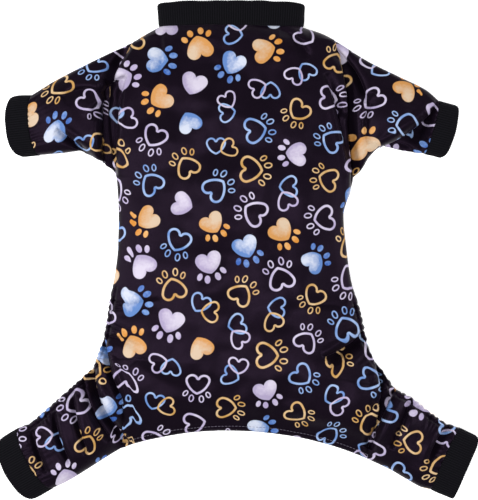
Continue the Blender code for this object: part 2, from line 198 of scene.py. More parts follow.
def nearest_on(plan, line):
    """For each plan point, its distance to a line of points, positive to the left of the line's
    direction, the length along the line, and the unit vector to the left there."""
    start, step = line[:-1], np.diff(line, axis=0)
    size = np.hypot(*step.T)
    begins = np.concatenate([[0.0], np.cumsum(size)])
    flat = plan.reshape(-1, 2)
    offset = flat[:, None, :] - start[None, :, :]
    share = np.clip((offset * step).sum(axis=-1) / size**2, 0, 1)
    away = offset - share[..., None] * step
    distance = np.hypot(away[..., 0], away[..., 1])
    best = distance.argmin(axis=1)
    row = np.arange(len(flat))
    step, share = step[best], share[row, best]
    turned = step[:, 0] * offset[row, best, 1] - step[:, 1] * offset[row, best, 0]
    left = np.stack([-step[:, 1], step[:, 0]], axis=-1) / size[best][:, None]
    shape = plan.shape[:-1]
    return (
        (distance[row, best] * np.sign(turned)).reshape(shape),
        (begins[best] + share * size[best]).reshape(shape),
        left.reshape(plan.shape),
    )


CREASES = (
    # start x, y, middle x, y, end x, y, near, far, depth, lip, lean, all in millimetres from the middle
    # of the neck seam, y down the back. The cloth on the left of the way from start to end laps over
    # the crease and drops into it within the near width; on the right it rises over the far one.
    (43, 6, 57, 12, 70, 30, 3.0, 6.0, 5.0, 0.6, 1.2),  # from the collar's right corner
    (-64, 8, -62, 34, -66, 58, 3.0, 8.0, 3.5, 0.4, 0.6),  # from its left corner
    (-112, 130, -116, 94, -112, 48, 2.2, 9.0, 45.0, 1.4, 2.6),  # the trough at the left armhole
    (-95, 46, -100, 86, -103, 128, 1.8, 9.0, 45.0, 1.4, 3.4),
    (-118, 60, -106, 50, -92, 46, 2.2, 4.0, 9.0, 0.8, 1.8),
    (-126, 84, -118, 70, -106, 62, 2.2, 4.0, 8.0, 0.8, 1.6),
    (92, 20, 112, 42, 121, 70, 2.6, 6.0, 14.0, 1.2, 2.6),  # round the right armhole
    (105, 126, 95, 78, 84, 44, 2.6, 5.0, 10.0, 0.8, 2.0),
    (108, 152, 106, 110, 101, 80, 2.2, 4.0, 12.0, 0.8, 1.8),
    (124, 106, 121, 84, 128, 62, 3.0, 5.0, 6.0, 0.6, 1.0),
    (133, 109, 160, 90, 187, 68, 1.8, 17.0, 45.0, 2.8, 6.5),  # overlap on the right sleeve
    (146, 105, 158, 106, 168, 116, 2.4, 4.0, 6.0, 0.4, 0.8),
    (-156, 93, -144, 101, -130, 112, 2.4, 4.0, 10.0, 1.0, 1.8),  # creases of the left sleeve
    (-150, 66, -134, 58, -116, 62, 3.0, 6.0, 5.0, 0.6, 1.0),
    (-124, 128, -130, 116, -140, 106, 2.2, 4.0, 8.0, 0.6, 1.2),
    (-114, 280, -107, 306, -98, 334, 2.2, 3.2, 20.0, 1.6, 2.8),  # pleats from the left flank
    (-124, 304, -113, 340, -92, 374, 2.2, 6.5, 40.0, 2.2, 4.0),
    (-133, 312, -126, 340, -108, 372, 2.2, 3.0, 16.0, 1.2, 2.2),
    (-141, 326, -138, 352, -128, 384, 2.2, 3.0, 11.0, 1.0, 1.8),
    (-158, 346, -154, 368, -144, 392, 2.4, 3.4, 11.0, 1.0, 1.8),
    (-178, 362, -173, 382, -165, 400, 2.4, 3.4, 9.0, 0.8, 1.4),
    (-107, 256, -88, 250, -62, 246, 3.0, 8.0, 2.5, 0.3, 0.4),
    (-112, 278, -98, 280, -82, 288, 2.6, 4.0, 4.0, 0.4, 0.6),
    (84, 297, 104, 284, 121, 272, 2.4, 7.5, 32.0, 2.4, 4.2),  # shadow over the right flank
    (122, 378, 134, 330, 121, 282, 2.4, 3.6, 18.0, 1.4, 2.8),  # pleats from the right flank
    (150, 322, 140, 344, 125, 380, 2.2, 6.5, 40.0, 2.2, 4.0),
    (138, 310, 132, 330, 122, 346, 2.0, 3.0, 10.0, 0.8, 1.6),
    (162, 332, 154, 354, 143, 378, 2.4, 3.4, 11.0, 1.0, 1.8),
    (176, 392, 187, 368, 200, 357, 2.4, 4.0, 11.0, 1.0, 1.8),
    (101, 252, 86, 249, 66, 250, 3.0, 8.0, 2.5, 0.3, 0.4),
    (-60, 352, -20, 348, 24, 352, 8.0, 10.0, 2.0, 0.4, 0.0),  # slack over the rear
    (-86, 300, -60, 318, -34, 322, 7.0, 10.0, 2.5, 0.5, 0.0),
)
GROOVES = (
    # side, first station, last station, near, far, depth, lip, lean, in millimetres
    (-1, 1.06, 1.99, 2.4, 6.0, 22.0, 0.6, 1.4),  # the left armhole seam lies in the trough
    (1, 2.00, 1.16, 2.4, 5.0, 16.0, 1.0, 2.2),
    (-1, 3.02, 3.96, 2.4, 3.0, 3.0, 0.4, 0.8),
    (1, 3.96, 3.02, 2.4, 3.0, 3.0, 0.4, 0.8),
)


CREASE_CLEAR = 2.6 * MM  # the least height of the upper cloth's outer side in a crease
BELLY_CLEAR = 1.4 * MM  # and that of the belly's edge


def crease_lines():
    """Each crease as a line of points with its widths, depth, lip and lean: a quadratic curve through
    start, middle and end, or a stretch of the body's edge."""
    t = np.linspace(0, 1, 17)[:, None]
    found = []
    for x0, y0, x1, y1, x2, y2, *rest in CREASES:
        start, middle, end = np.array([(x0, -y0), (x1, -y1), (x2, -y2)]) * MM
        control = 2 * middle - (start + end) / 2
        line = start * (1 - t) ** 2 + 2 * control * t * (1 - t) + end * t**2
        found.append((line, *[value * MM for value in rest]))
    for side, first, last, *rest in GROOVES:
        line = body_edge(side, np.linspace(first, last, 33))
        found.append((line, *[value * MM for value in rest]))
    return found


def bell(t):
    return np.exp(-(t**2))


def creased(plan, height, clearance):
    """Presses the creases into a surface. Across each one the cloth dips as a bell with a near and a
    far width, and stands up a little beside it. The standing edge leans over the dip, and the foot of
    the dip runs in under it. All of it fades as the root of a sine along the crease, and the dip slows
    down as it nears the cloth below."""
    deep = np.zeros(height.shape)
    moved = np.zeros(plan.shape)
    for line, near, far, depth, lip, lean in crease_lines():
        reach = 3 * max(near, far)
        low, high = line.min(axis=0) - reach, line.max(axis=0) + reach
        inside = ((plan > low) & (plan < high)).all(axis=-1)
        if not inside.any():
            continue
        across, along, left = nearest_on(plan[inside], line)
        share = along / np.hypot(*np.diff(line, axis=0).T).sum()
        ends = np.sqrt(np.clip(np.sin(np.pi * share), 0, 1))
        t = across / np.where(across > 0, near, far)
        deep[inside] += ends * (depth * bell(t) - lip * bell((across / near - 2.4) / 1.1))
        over = lean * ends * (bell((across / near - 1.3) / 0.8) - 0.6 * bell((across / near + 0.6) / 0.8))
        moved[inside] -= left * over[:, None]
    room = np.maximum(height - clearance, 0.2 * MM)
    sunk = room * (1 - np.exp(-np.maximum(deep, 0) / room))
    fade = np.clip(room / (8 * MM), 0, 1)
    return plan + moved * fade[..., None], height - sunk + np.maximum(-deep, 0) * fade


def ripples(plan, seed, wavelength, size):
    """Soft unevenness: the mean of many sines with seeded directions, lengths and phases."""
    random = np.random.default_rng(seed)
    total = np.zeros(plan.shape[:-1])
    count = 28
    for _ in range(count):
        turn, phase = random.uniform(0, 2 * np.pi, 2)
        rate = 2 * np.pi / (wavelength * random.uniform(0.7, 1.6))
        total += np.sin(rate * (plan[..., 0] * math.cos(turn) + plan[..., 1] * math.sin(turn)) + phase)
    return size * total / math.sqrt(count / 2)


CREASE_CLOTH = 0.35  # how much of a crease's depth the print follows; it stretches over the rest
GATHER_PITCH = 6.2 * MM
GATHER_DEPTH = 8.0 * MM
GATHER_REACH = 6.0 * MM
GATHER_CLEAR = 3.5 * MM
GATHER_SHIFT = 0.10 * GATHER_PITCH
SCALLOP = 1.4 * MM
ELASTIC_INSET = 4.2 * MM  # the elastic seam pulls a groove this far in from the edge
ELASTIC_DEPTH = 3.0 * MM
ELASTIC_WIDTH = 1.1 * MM


def gathered(plan, height, edge, upper):
    """Puckers the cloth along an elastic edge: rounded ridges with sharp valleys across the edge, at
    an uneven pitch, fading inwards as an exponential, with the edge itself scalloped and the ridges
    leaning over the valleys."""
    across, along, left = nearest_on(plan, edge)
    inwards = np.abs(across)
    total = np.hypot(*np.diff(edge, axis=0).T).sum()
    s = along / GATHER_PITCH
    phase = np.pi * s + 0.55 * np.sin(2 * np.pi * s / 3.3) + 0.35 * np.sin(2 * np.pi * s / 5.7 + 1.0)
    phase += 0.9 * inwards / GATHER_REACH * np.sin(2 * np.pi * s / 4.1 + 2.0)
    ridge = np.abs(np.sin(phase)) ** 0.7
    loud = 0.62 + 0.38 * np.sin(2 * np.pi * s / 2.3 + 0.7) * np.sin(2 * np.pi * s / 7.9)
    ends = np.clip(np.minimum(along, total - along) / (12 * MM), 0, 1)
    near = np.exp(-inwards / (GATHER_REACH * (0.6 + 0.8 * loud))) * ends * loud
    scallop = SCALLOP * (ridge - 0.6) * np.exp(-inwards / (2.5 * MM)) * ends
    outwards = left * np.where(edge_runs_left(edge), -1.0, 1.0)
    onwards = np.stack([left[..., 1], -left[..., 0]], axis=-1)
    plan = plan + outwards * scallop[..., None]
    if upper:
        rise = np.clip(inwards / (3 * MM), 0, 1)
        room = np.maximum(height - GATHER_CLEAR, 0.2 * MM)
        pulled = ELASTIC_DEPTH * bell((inwards - ELASTIC_INSET) / ELASTIC_WIDTH) * (0.5 + 0.5 * loud) * ends
        height = height - room * (1 - np.exp(-(GATHER_DEPTH * (1 - ridge) * near * rise + pulled) / room))
        plan = plan - onwards * (GATHER_SHIFT * np.sin(2 * phase) * near * rise)[..., None]
    return plan, height


def edge_runs_left(edge):
    """True if the cloth lies to the left of the way along an edge, seen from above: the middle of the
    garment's rear, below the back's middle line, tells."""
    middle = np.array([0.0, -BACK_LENGTH * 1.02])
    way = edge[-1] - edge[0]
    offset = middle - edge[0]
    return way[0] * offset[1] - way[1] * offset[0] > 0


def gather_edge(side):
    """The elastic edge of one side: the body's flank, then the front edge of the hind leg."""
    flank = body_edge(side, np.linspace(2.66, 3.0, 14))
    name = "leg_left" if side < 0 else "leg_right"
    front = limb_edges(name, np.linspace(0, 1, 30), np.array([0.0, 1.0]))[0]
    return np.concatenate([flank[:-1], front])


# How each limb lies, and the bows of its two edges
SLEEVE_LENGTH = 0.0815
SLEEVE_CUFF_WIDTH = 0.0520
LEG_LENGTH = 0.0816
LEG_CUFF_WIDTH = 0.0615
LIMBS = {
    # name: side, root station, reach, droop, spread, slant, bulge
    "sleeve_left": (-1, 1, 1.00, 9.4, 1.05, -5.7, 0.11),
    "sleeve_right": (1, 1, 1.00, 11.7, 0.94, 15.1, 0.02),
    "leg_left": (-1, 3, 1.00, 36.9, 1.01, -29.5, 0.11),
    "leg_right": (1, 3, 0.81, 28.4, 0.99, 24.1, -0.05),
}
UPPER_BOW = {
    # rows of: along, bow
    "sleeve_left": ((0.0, 0.0), (0.40, 0.012), (0.75, 0.016), (1.0, 0.0)),
    "sleeve_right": ((0.0, 0.0), (0.31, -0.015), (0.60, 0.005), (0.85, 0.025), (1.0, 0.0)),
    "leg_left": ((0.0, 0.0), (0.13, -0.047), (0.45, -0.046), (0.85, -0.043), (1.0, 0.0)),
    "leg_right": ((0.0, 0.0), (0.27, 0.011), (0.55, -0.024), (0.80, -0.040), (1.0, 0.0)),
}
LOWER_BOW = {
    # rows of: along, bow
    "sleeve_left": ((0.0, 0.0), (0.09, -0.083), (0.30, -0.150), (0.48, -0.190), (0.76, -0.093), (1.0, 0.0)),
    "sleeve_right": ((0.0, 0.0), (0.13, -0.070), (0.29, -0.200), (0.47, -0.272), (0.80, -0.105), (1.0, 0.0)),
    "leg_left": ((0.0, 0.0), (0.25, 0.006), (0.50, 0.016), (0.75, 0.021), (1.0, 0.0)),
    "leg_right": ((0.0, 0.0), (0.32, -0.003), (0.60, 0.018), (0.83, 0.033), (1.0, 0.0)),
}


def limb_plan(name):
    """Where a limb lies: its cuff seam's two corners, the way out of it, and how far it bulges."""
    side, root, reach, droop, spread, slant, bulge = LIMBS[name]
    long = SLEEVE_LENGTH if root == 1 else LEG_LENGTH
    wide = spread * (SLEEVE_CUFF_WIDTH if root == 1 else LEG_CUFF_WIDTH)
    middle = body_edge(side, np.array([root, root + 1.0])).mean(axis=0)
    away = np.array([side * math.cos(math.radians(droop)), -math.sin(math.radians(droop))])
    seam = np.array([-math.sin(math.radians(slant)), -math.cos(math.radians(slant))]) * wide / 2
    end = middle + away * long * reach
    across_seam = np.array([side * abs(seam[1]), -side * seam[0] * math.copysign(1.0, seam[1])])
    return end - seam, end + seam, across_seam / math.hypot(*across_seam), bulge * wide


def seam_curve(name, share):
    """Plan points of the seam between a limb and its cuff: a straight line with a bulge."""
    high, low, out, bulge = limb_plan(name)
    return high + (low - high) * share[:, None] + out * bulge * arc(share)[:, None]


def bowed(start, end, rows, along, outward):
    """An edge of a limb: the straight line from seam to cuff, bowed by its table."""
    line = end - start
    normal = np.array([line[1], -line[0]])
    normal *= math.copysign(1.0, normal @ outward)
    return start + line * along[:, None] + normal * through(rows, 1, along)[:, None]


def limb_edges(name, along, share):
    """A limb's upper and lower edge and the ring of its root, in plan."""
    side, root = LIMBS[name][:2]
    ring = body_edge(side, root + share)
    seam = seam_curve(name, share)
    upper = bowed(ring[0], seam[0], UPPER_BOW[name], along, np.array([0.0, 1.0]))
    lower = bowed(ring[-1], seam[-1], LOWER_BOW[name], along, np.array([0.0, -1.0]))
    return upper, lower, ring, seam


HEM_DEPTH = 5.2 * MM  # from the hem's edge to its stitches
HEM_SWELL = 0.5 * MM


def body_plan(stations, share):
    """Plan points of the body's rows, from edge to edge, arched forward towards the hem."""
    left, right = body_edge(-1, stations)[:, None, :], body_edge(1, stations)[:, None, :]
    plan = left + (right - left) * share[None, :, None]
    forward = HEM_ARCH * np.clip((stations - 2) / 2, 0, 1) ** 1.5
    plan[..., 1] += forward[:, None] * arc(share)[None, :] ** 1.85
    return plan


def hem_line(share):
    """Plan points along the hem's edge."""
    return body_plan(np.array([4.0]), share)[0]


def back_height(stations, share):
    """The back's puffed sections: round between two folds, and pillowed between two seams."""
    seamed = arc(seam_share(stations))[:, None]
    fullness = FOLD_FULLNESS + (SEAM_FULLNESS - FOLD_FULLNESS) * seamed
    crown = through(BODY_PUFF, 1, stations)[:, None] * BODY_HEIGHT
    return upper_height(edge_height(stations)[:, None], crown, share[None, :], fullness)


def back_surface():
    """The back panel: puffed sections with creases, gathers at both flanks, soft unevenness, and a
    turned hem that swells between its edge and its stitches."""
    stations = even_stations(0.0, 4.0, BACK_STEP)
    share = panel_shares(round(2.3 * HALF_CHEST / BACK_STEP))
    plan = body_plan(stations, share)
    height = back_height(stations, share)
    inner = arc(share)[None, :] ** 2
    height += (ripples(plan, 5, 48 * MM, 1.2 * MM) + ripples(plan, 8, 17 * MM, 0.18 * MM)) * inner
    to_hem = np.abs(nearest_on(plan, hem_line(np.linspace(0, 1, 60)))[0])
    turned = np.clip(to_hem / HEM_DEPTH, 0, 1)
    height += HEM_SWELL * np.sin(np.pi * turned) ** 0.5 * (turned < 1)
    height -= 0.35 * MM * np.exp(-(((to_hem - HEM_DEPTH) / (0.9 * MM)) ** 2))
    plain, smooth = plan, height
    plan, height = creased(plan, height, CREASE_CLEAR)
    followed = smooth + (height - smooth) * CREASE_CLOTH
    cloth = cloth_lengths(np.concatenate([plain, followed[..., None]], axis=-1))
    for side in (-1, 1):
        plan, height = gathered(plan, height, gather_edge(side), True)
    return np.concatenate([plan, height[..., None]], axis=-1), cloth


def belly_surface():
    """The belly panel: it rises to the side folds, lies flat between them and ends past the hips."""
    stations = even_stations(0.0, 3.19, BELLY_STEP)
    share = panel_shares(round(2.3 * HALF_CHEST / BELLY_STEP))
    plan = body_plan(stations, share)
    fold = through(BODY_PUFF, 2, stations) * BODY_HEIGHT
    edge = under_height(fold, seam_share(stations))[:, None]
    height = np.maximum(under_height(edge, share[None, :]), 0.0)
    cloth = cloth_lengths(np.concatenate([plan, height[..., None]], axis=-1))
    plan, height = creased(plan, height, BELLY_CLEAR)
    height = np.maximum(height, 0.0)
    for side in (-1, 1):
        plan, height = gathered(plan, height, gather_edge(side), False)
    return np.concatenate([plan, height[..., None]], axis=-1), cloth


def cloth_lengths(points):
    """Where each point lies on the flat cloth: lengths measured over the surface, across along each
    row from its middle, and down along each column from the neck."""
    steps = np.diff(points, axis=1)
    across = np.hypot(steps[..., 0], steps[..., 2])
    u = np.concatenate([np.zeros((len(points), 1)), np.cumsum(across, axis=1)], axis=1)
    middle = points.shape[1] // 2
    u += points[:, middle, 0][:, None] - u[:, middle][:, None]
    steps = np.diff(points, axis=0)
    down = np.hypot(steps[..., 1], steps[..., 2])
    v = np.concatenate([np.zeros((1, points.shape[1])), -np.cumsum(down, axis=0)], axis=0)
    v += points[0, :, 1][None, :]
    return np.stack([u, v], axis=-1)


# The print: hearts and paws, plain and outlined, tossed in every direction on the cloth
MOTIF_SPACING = 36.0 * MM
MOTIF_SHIFT = 4.0 * MM
MOTIF_GAP = 2.6 * MM
GRID_TURN = math.radians(24)
LAYOUT_SWEEPS = 4
LAYOUT_TRIES = 40
PAW, HEART, LINKED = 0, 1, 2
STRAY_HUES = 0.15  # share of motifs whose hue is drawn by lot
SOLID_SHARES = (0.62, 0.36, 0.27)  # how many of the blue, orange and lilac motifs are filled in
BLUE, ORANGE, LILAC = 0.1, 0.5, 0.9
OUT_OF_SIGHT = 99.0

# A heart is two round lobes with a straight line from each to the point. A paw is a heart for its pad
# and four toes past the point. A linked pair is two hearts. All in millimetres.
LOBE_MIDDLE = (6.3, 3.0)
LOBE_RADIUS = 6.9
SIDE_RADIUS = 21.0
POINT_RADIUS = 1.2
HEART_POINT = -12.6  # where the two sides would meet if the point weren't rounded
HALF_DISCS = ((6.3, 3.0, 6.9), (3.4, -3.6, 6.4), (1.2, -7.6, 3.8))  # x, y and radius, for the layout
TOES = (
    # x, y, half width, half length, tilt
    (5.4, -17.2, 2.9, 4.2, math.radians(8)),
    (12.1, -12.2, 2.6, 3.8, math.radians(34)),
)
HEART_LIFT = 5.2  # how far a paw's pad stands off the middle of the paw
LINK_PLACES = ((-7.0, -2.4, 0.55), (7.0, 2.4, -0.60))  # x, y and turn of two linked hearts
LINK_SIZE = 0.84


def turned(x, y, angle):
    """A turn about the origin by an angle."""
    return x * np.cos(angle) - y * np.sin(angle), x * np.sin(angle) + y * np.cos(angle)


def motif_discs():
    """Discs (x, y, radius) that together cover each kind of motif, the same number for each."""
    half = np.array(HALF_DISCS)
    heart = np.concatenate([half, half * (-1, 1, 1)])
    toes = np.array([(x, y, long) for x, y, wide, long, tilt in TOES])
    paw = np.concatenate([heart, toes, toes * (-1, 1, 1)]) + (0, HEART_LIFT, 0)
    pair = []
    for x, y, angle in LINK_PLACES:
        across, up = turned(heart[:, 0] * LINK_SIZE, heart[:, 1] * LINK_SIZE, angle)
        pair.append(np.stack([across + x, up + y, heart[:, 2] * LINK_SIZE], axis=-1))
    pair = np.concatenate(pair)
    return np.stack([np.resize(discs, pair.shape) for discs in (paw, heart, pair)]) * MM


DISCS = motif_discs()


def placed_discs(kind, size, turn, place):
    """A motif's discs on the cloth, for one or many turns and places."""
    discs = DISCS[kind] * np.asarray(size)[..., None, None]
    x, y = turned(discs[..., 0], discs[..., 1], np.asarray(turn)[..., None])
    return np.stack([x + place[..., 0:1], y + place[..., 1:2], np.broadcast_to(discs[..., 2], x.shape)], axis=-1)


def crowding(discs, others):
    """How much some discs come closer to others than the gap between motifs, squared and summed."""
    apart = np.hypot(
        discs[..., :, None, 0] - others[:, 0], discs[..., :, None, 1] - others[:, 1]
    )
    short = discs[..., :, None, 2] + others[:, 2] + MOTIF_GAP - apart
    return (np.maximum(short, 0) ** 2).sum(axis=(-1, -2))


def motif_layout(low, high, seed):
    """Places, turns, kinds and colours of the motifs that cover a piece of flat cloth: a turned
    triangular grid, whose hues take turns so that neighbours differ and whose kinds are drawn by lot,
    and then some sweeps in which each motif takes, of many turns and shifts, the one that crowds its
    neighbours least."""
    random = np.random.default_rng(seed)
    reach = math.hypot(*(high - low)) / 2 + MOTIF_SPACING
    count = math.ceil(reach / MOTIF_SPACING * 1.2)
    i, j = np.meshgrid(np.arange(-count, count + 1), np.arange(-count, count + 1))
    grid = np.stack([i + 0.5 * (j % 2), j * math.sqrt(0.75)], axis=-1).reshape(-1, 2) * MOTIF_SPACING
    places = np.stack(turned(grid[:, 0], grid[:, 1], GRID_TURN), axis=-1) + (low + high) / 2
    near = ((places > low - MOTIF_SPACING) & (places < high + MOTIF_SPACING)).all(axis=1)
    places = places[near]
    number = len(places)
    kinds = random.permutation(np.resize([PAW] * 14 + [LINKED] * 4 + [HEART], number))
    in_turn = (i - j // 2 - j).reshape(-1)[near] % 3
    in_turn = np.where(random.uniform(0, 1, number) < STRAY_HUES, random.integers(0, 3, number), in_turn)
    hues = np.array([BLUE, ORANGE, LILAC])[in_turn]
    solid = np.zeros(number)
    for hue in range(3):
        same = in_turn == hue
        filled = np.arange(same.sum()) < SOLID_SHARES[hue] * same.sum()
        solid[same] = random.permutation(filled.astype(float))
    turns = random.uniform(-np.pi, np.pi, number)
    sizes = random.uniform(0.80, 0.92, number)
    discs = placed_discs(kinds, sizes, turns, places)
    homes = places.copy()
    for one in np.tile(np.arange(number), LAYOUT_SWEEPS):
        close = np.hypot(*(places - places[one]).T) < 2.2 * MOTIF_SPACING
        close[one] = False
        if not close.any():
            continue
        tries = random.uniform(-np.pi, np.pi, LAYOUT_TRIES)
        shifts = homes[one] + random.uniform(-MOTIF_SHIFT, MOTIF_SHIFT, (LAYOUT_TRIES, 2))
        tries[0], shifts[0] = turns[one], places[one]
        laid = placed_discs(kinds[one], sizes[one], tries, shifts)
        best = crowding(laid, discs[close].reshape(-1, 3)).argmin()
        turns[one], places[one], discs[one] = tries[best], shifts[best], laid[best]
    return {
        "place": places,
        "turn": turns,
        "size": sizes,
        "kind": kinds,
        "discs": discs,
        "solid": np.where(kinds == LINKED, 0.0, solid),
        "hue": np.where(kinds == LINKED, BLUE, hues),
        "mate_hue": np.where(random.uniform(0, 1, number) < 0.75, LILAC, ORANGE),
        "tone": random.uniform(0, 1, number),
    }


def nearest_motif(middles, layout):
    """For each point of the flat cloth, the motif with the nearest disc."""
    best = np.full(len(middles), np.inf)
    found = np.zeros(len(middles), int)
    for number, discs in enumerate(layout["discs"]):
        near = np.flatnonzero(np.hypot(*(middles - layout["place"][number]).T) < 1.6 * MOTIF_SPACING)
        apart = np.hypot(*(middles[near, None, :] - discs[None, :, :2]).transpose(2, 0, 1)) - discs[:, 2]
        gap = apart.min(axis=1)
        closer = gap < best[near]
        best[near[closer]] = gap[closer]
        found[near[closer]] = number
    return found


def motif_points(corners, layout):
    """For each face's corners on the flat cloth, the corners as the nearest motif sees them, in
    millimetres: where they lie on its heart, whether it has toes, where they lie on its mate, and its
    colours."""
    found = nearest_motif(corners.mean(axis=1), layout)
    kind = layout["kind"][found][:, None]
    local = (corners - layout["place"][found][:, None, :]) / MM / layout["size"][found][:, None, None]
    x, y = turned(local[..., 0], local[..., 1], -layout["turn"][found][:, None])
    heart, mate = [
        [value / LINK_SIZE for value in turned(x - px, y - py, -angle)] for px, py, angle in LINK_PLACES
    ]
    linked = kind == LINKED
    lift = np.where(kind == PAW, HEART_LIFT, 0.0)
    flat = np.ones_like(x)
    pad = np.stack(
        [np.where(linked, heart[0], x), np.where(linked, heart[1], y - lift), flat * (kind == PAW)], axis=-1
    )
    other = np.stack(
        [
            np.where(linked, mate[0], OUT_OF_SIGHT),
            np.where(linked, mate[1], OUT_OF_SIGHT),
            flat * layout["mate_hue"][found][:, None],
        ],
        axis=-1,
    )
    ink = np.stack([flat * layout[key][found][:, None] for key in ("solid", "hue", "tone")], axis=-1)
    return {"pad": pad, "mate": other, "ink": ink}


def linear(red, green, blue):
    """A colour read off a screen, 0 to 255, as light: the standard curve undone."""
    value = np.array([red, green, blue]) / 255
    light = np.where(value <= 0.04045, value / 12.92, ((value + 0.055) / 1.055) ** 2.4)
    return (*light.tolist(), 1.0)


def feed(tree, socket, value):
    if isinstance(value, bpy.types.NodeSocket):
        tree.links.new(value, socket)
    else:
        socket.default_value = value


def maths(tree, operation, *values, clamp=False):
    made = tree.nodes.new("ShaderNodeMath")
    made.operation = operation
    made.use_clamp = clamp
    for socket, value in zip(made.inputs, values):
        feed(tree, socket, value)
    return made.outputs[0]


def vectors(tree, operation, *values):
    made = tree.nodes.new("ShaderNodeVectorMath")
    made.operation = operation
    for socket, value in zip(made.inputs, values):
        feed(tree, socket, value)
    return made.outputs["Value" if operation in ("LENGTH", "DISTANCE", "DOT_PRODUCT") else "Vector"]


def mixed(tree, share, first, second):
    made = tree.nodes.new("ShaderNodeMix")
    made.data_type = "RGBA"
    feed(tree, made.inputs[0], share)
    feed(tree, made.inputs[6], first)
    feed(tree, made.inputs[7], second)
    return made.outputs[2]


def noise(tree, vector, scale, detail=2.0):
    made = tree.nodes.new("ShaderNodeTexNoise")
    feed(tree, made.inputs["Vector"], vector)
    made.inputs["Scale"].default_value = scale
    made.inputs["Detail"].default_value = detail
    return made.outputs["Fac"]


def attribute(tree, name):
    made = tree.nodes.new("ShaderNodeAttribute")
    made.attribute_name = name
    return made.outputs["Vector"]


def parts(tree, vector):
    made = tree.nodes.new("ShaderNodeSeparateXYZ")
    feed(tree, made.inputs[0], vector)
    return made.outputs


def by_hue(tree, hue, *colours):
    """One of three colours, by the motif's hue."""
    made = tree.nodes.new("ShaderNodeValToRGB")
    made.color_ramp.interpolation = "CONSTANT"
    elements = made.color_ramp.elements
    elements[1].position = 0.333
    elements.new(0.667)
    for element, colour in zip(elements, colours):
        element.color = colour
    feed(tree, made.inputs[0], hue)
    return made.outputs[0]


def ellipse_distance(tree, x, y, middle, radii, angle):
    """About how far a point lies outside an ellipse: with k the point over the radii, and k' over
    their squares, it is |k| times (|k| - 1) over |k'|."""
    point = tree.nodes.new("ShaderNodeCombineXYZ")
    feed(tree, point.inputs[0], x)
    feed(tree, point.inputs[1], y)
    placed = tree.nodes.new("ShaderNodeMapping")
    placed.vector_type = "TEXTURE"
    feed(tree, placed.inputs["Vector"], point.outputs[0])
    placed.inputs["Location"].default_value = (*middle, 0.0)
    placed.inputs["Rotation"].default_value = (0.0, 0.0, angle)
    placed.inputs["Scale"].default_value = (*radii, 1.0)
    first = vectors(tree, "LENGTH", placed.outputs[0])
    second = vectors(tree, "LENGTH", vectors(tree, "DIVIDE", placed.outputs[0], (*radii, 1.0)))
    return maths(tree, "DIVIDE", maths(tree, "MULTIPLY", first, maths(tree, "SUBTRACT", first, 1.0)), second)


LINE = 2.3
TOE_LINE = 1.3
EDGE = 0.5


def heart_distance(tree, x, y):
    """How far a point lies outside a heart. Each half has an arc for its lobe, then a wide one for its
    side, which meets the lobe without a corner, and then a small one for the point. The distance is
    that to the arc whose stretch the point faces, or to the notch if it is nearer."""
    lobe, radius = np.array(LOBE_MIDDLE), LOBE_RADIUS
    angles = np.linspace(0, 1, 400)
    middles = lobe - np.stack([np.cos(angles), -np.sin(angles)], axis=-1) * (SIDE_RADIUS - radius)
    slant = np.interp(0.0, np.hypot(*(middles - (0.0, HEART_POINT)).T) - SIDE_RADIUS, angles)
    out = np.array([math.cos(slant), -math.sin(slant)])
    side = lobe - out * (SIDE_RADIUS - radius)
    tip = np.array([0.0, side[1] - math.sqrt((SIDE_RADIUS - POINT_RADIUS) ** 2 - side[0] ** 2)])
    notch = np.array([0.0, lobe[1] + math.sqrt(radius**2 - lobe[0] ** 2)])
    point = tree.nodes.new("ShaderNodeCombineXYZ")
    feed(tree, point.inputs[0], maths(tree, "ABSOLUTE", x))
    feed(tree, point.inputs[1], y)
    point = point.outputs[0]

    def past(start, far, turn):
        """1 for a point on the far side of the line from start through far."""
        normal = np.array([far[1] - start[1], start[0] - far[0]]) * turn
        return maths(
            tree, "GREATER_THAN", vectors(tree, "DOT_PRODUCT", point, (*normal, 0.0)), float(normal @ start)
        )

    def from_arc(middle, size):
        return maths(tree, "SUBTRACT", vectors(tree, "DISTANCE", point, (*middle, 0.0)), size)

    from_side = chosen(tree, past(side, tip, 1), from_arc(side, SIDE_RADIUS), from_arc(tip, POINT_RADIUS))
    from_notch = maths(tree, "MULTIPLY", vectors(tree, "DISTANCE", point, (*notch, 0.0)), -1.0)
    below = maths(tree, "MULTIPLY", past(lobe, notch, -1), past(lobe, lobe + out, 1))
    return chosen(tree, below, from_arc(lobe, radius), maths(tree, "MAXIMUM", from_notch, from_side))


def outlined(tree, distance, line):
    """A band of a line's width just inside a shape's edge."""
    half = line / 2
    return maths(tree, "SUBTRACT", maths(tree, "ABSOLUTE", maths(tree, "ADD", distance, half)), half)


def chosen(tree, share, first, second):
    """first where share is 0, second where it is 1."""
    return maths(tree, "MULTIPLY_ADD", share, maths(tree, "SUBTRACT", second, first), first)


def inside(tree, distance):
    """1 inside a shape and 0 outside, with a soft edge."""
    return maths(tree, "MULTIPLY_ADD", distance, -1 / EDGE, 0.5, clamp=True)


LIGHT_GAIN = 1.60  # the studio light shows white paper this much brighter than the picture's white


def dyed(red, green, blue):
    """A colour as it shows in the studio light, 0 to 255, as the dye's own colour."""
    light = np.array(linear(red, green, blue)[:3]) / LIGHT_GAIN
    return (*light.tolist(), 1.0)


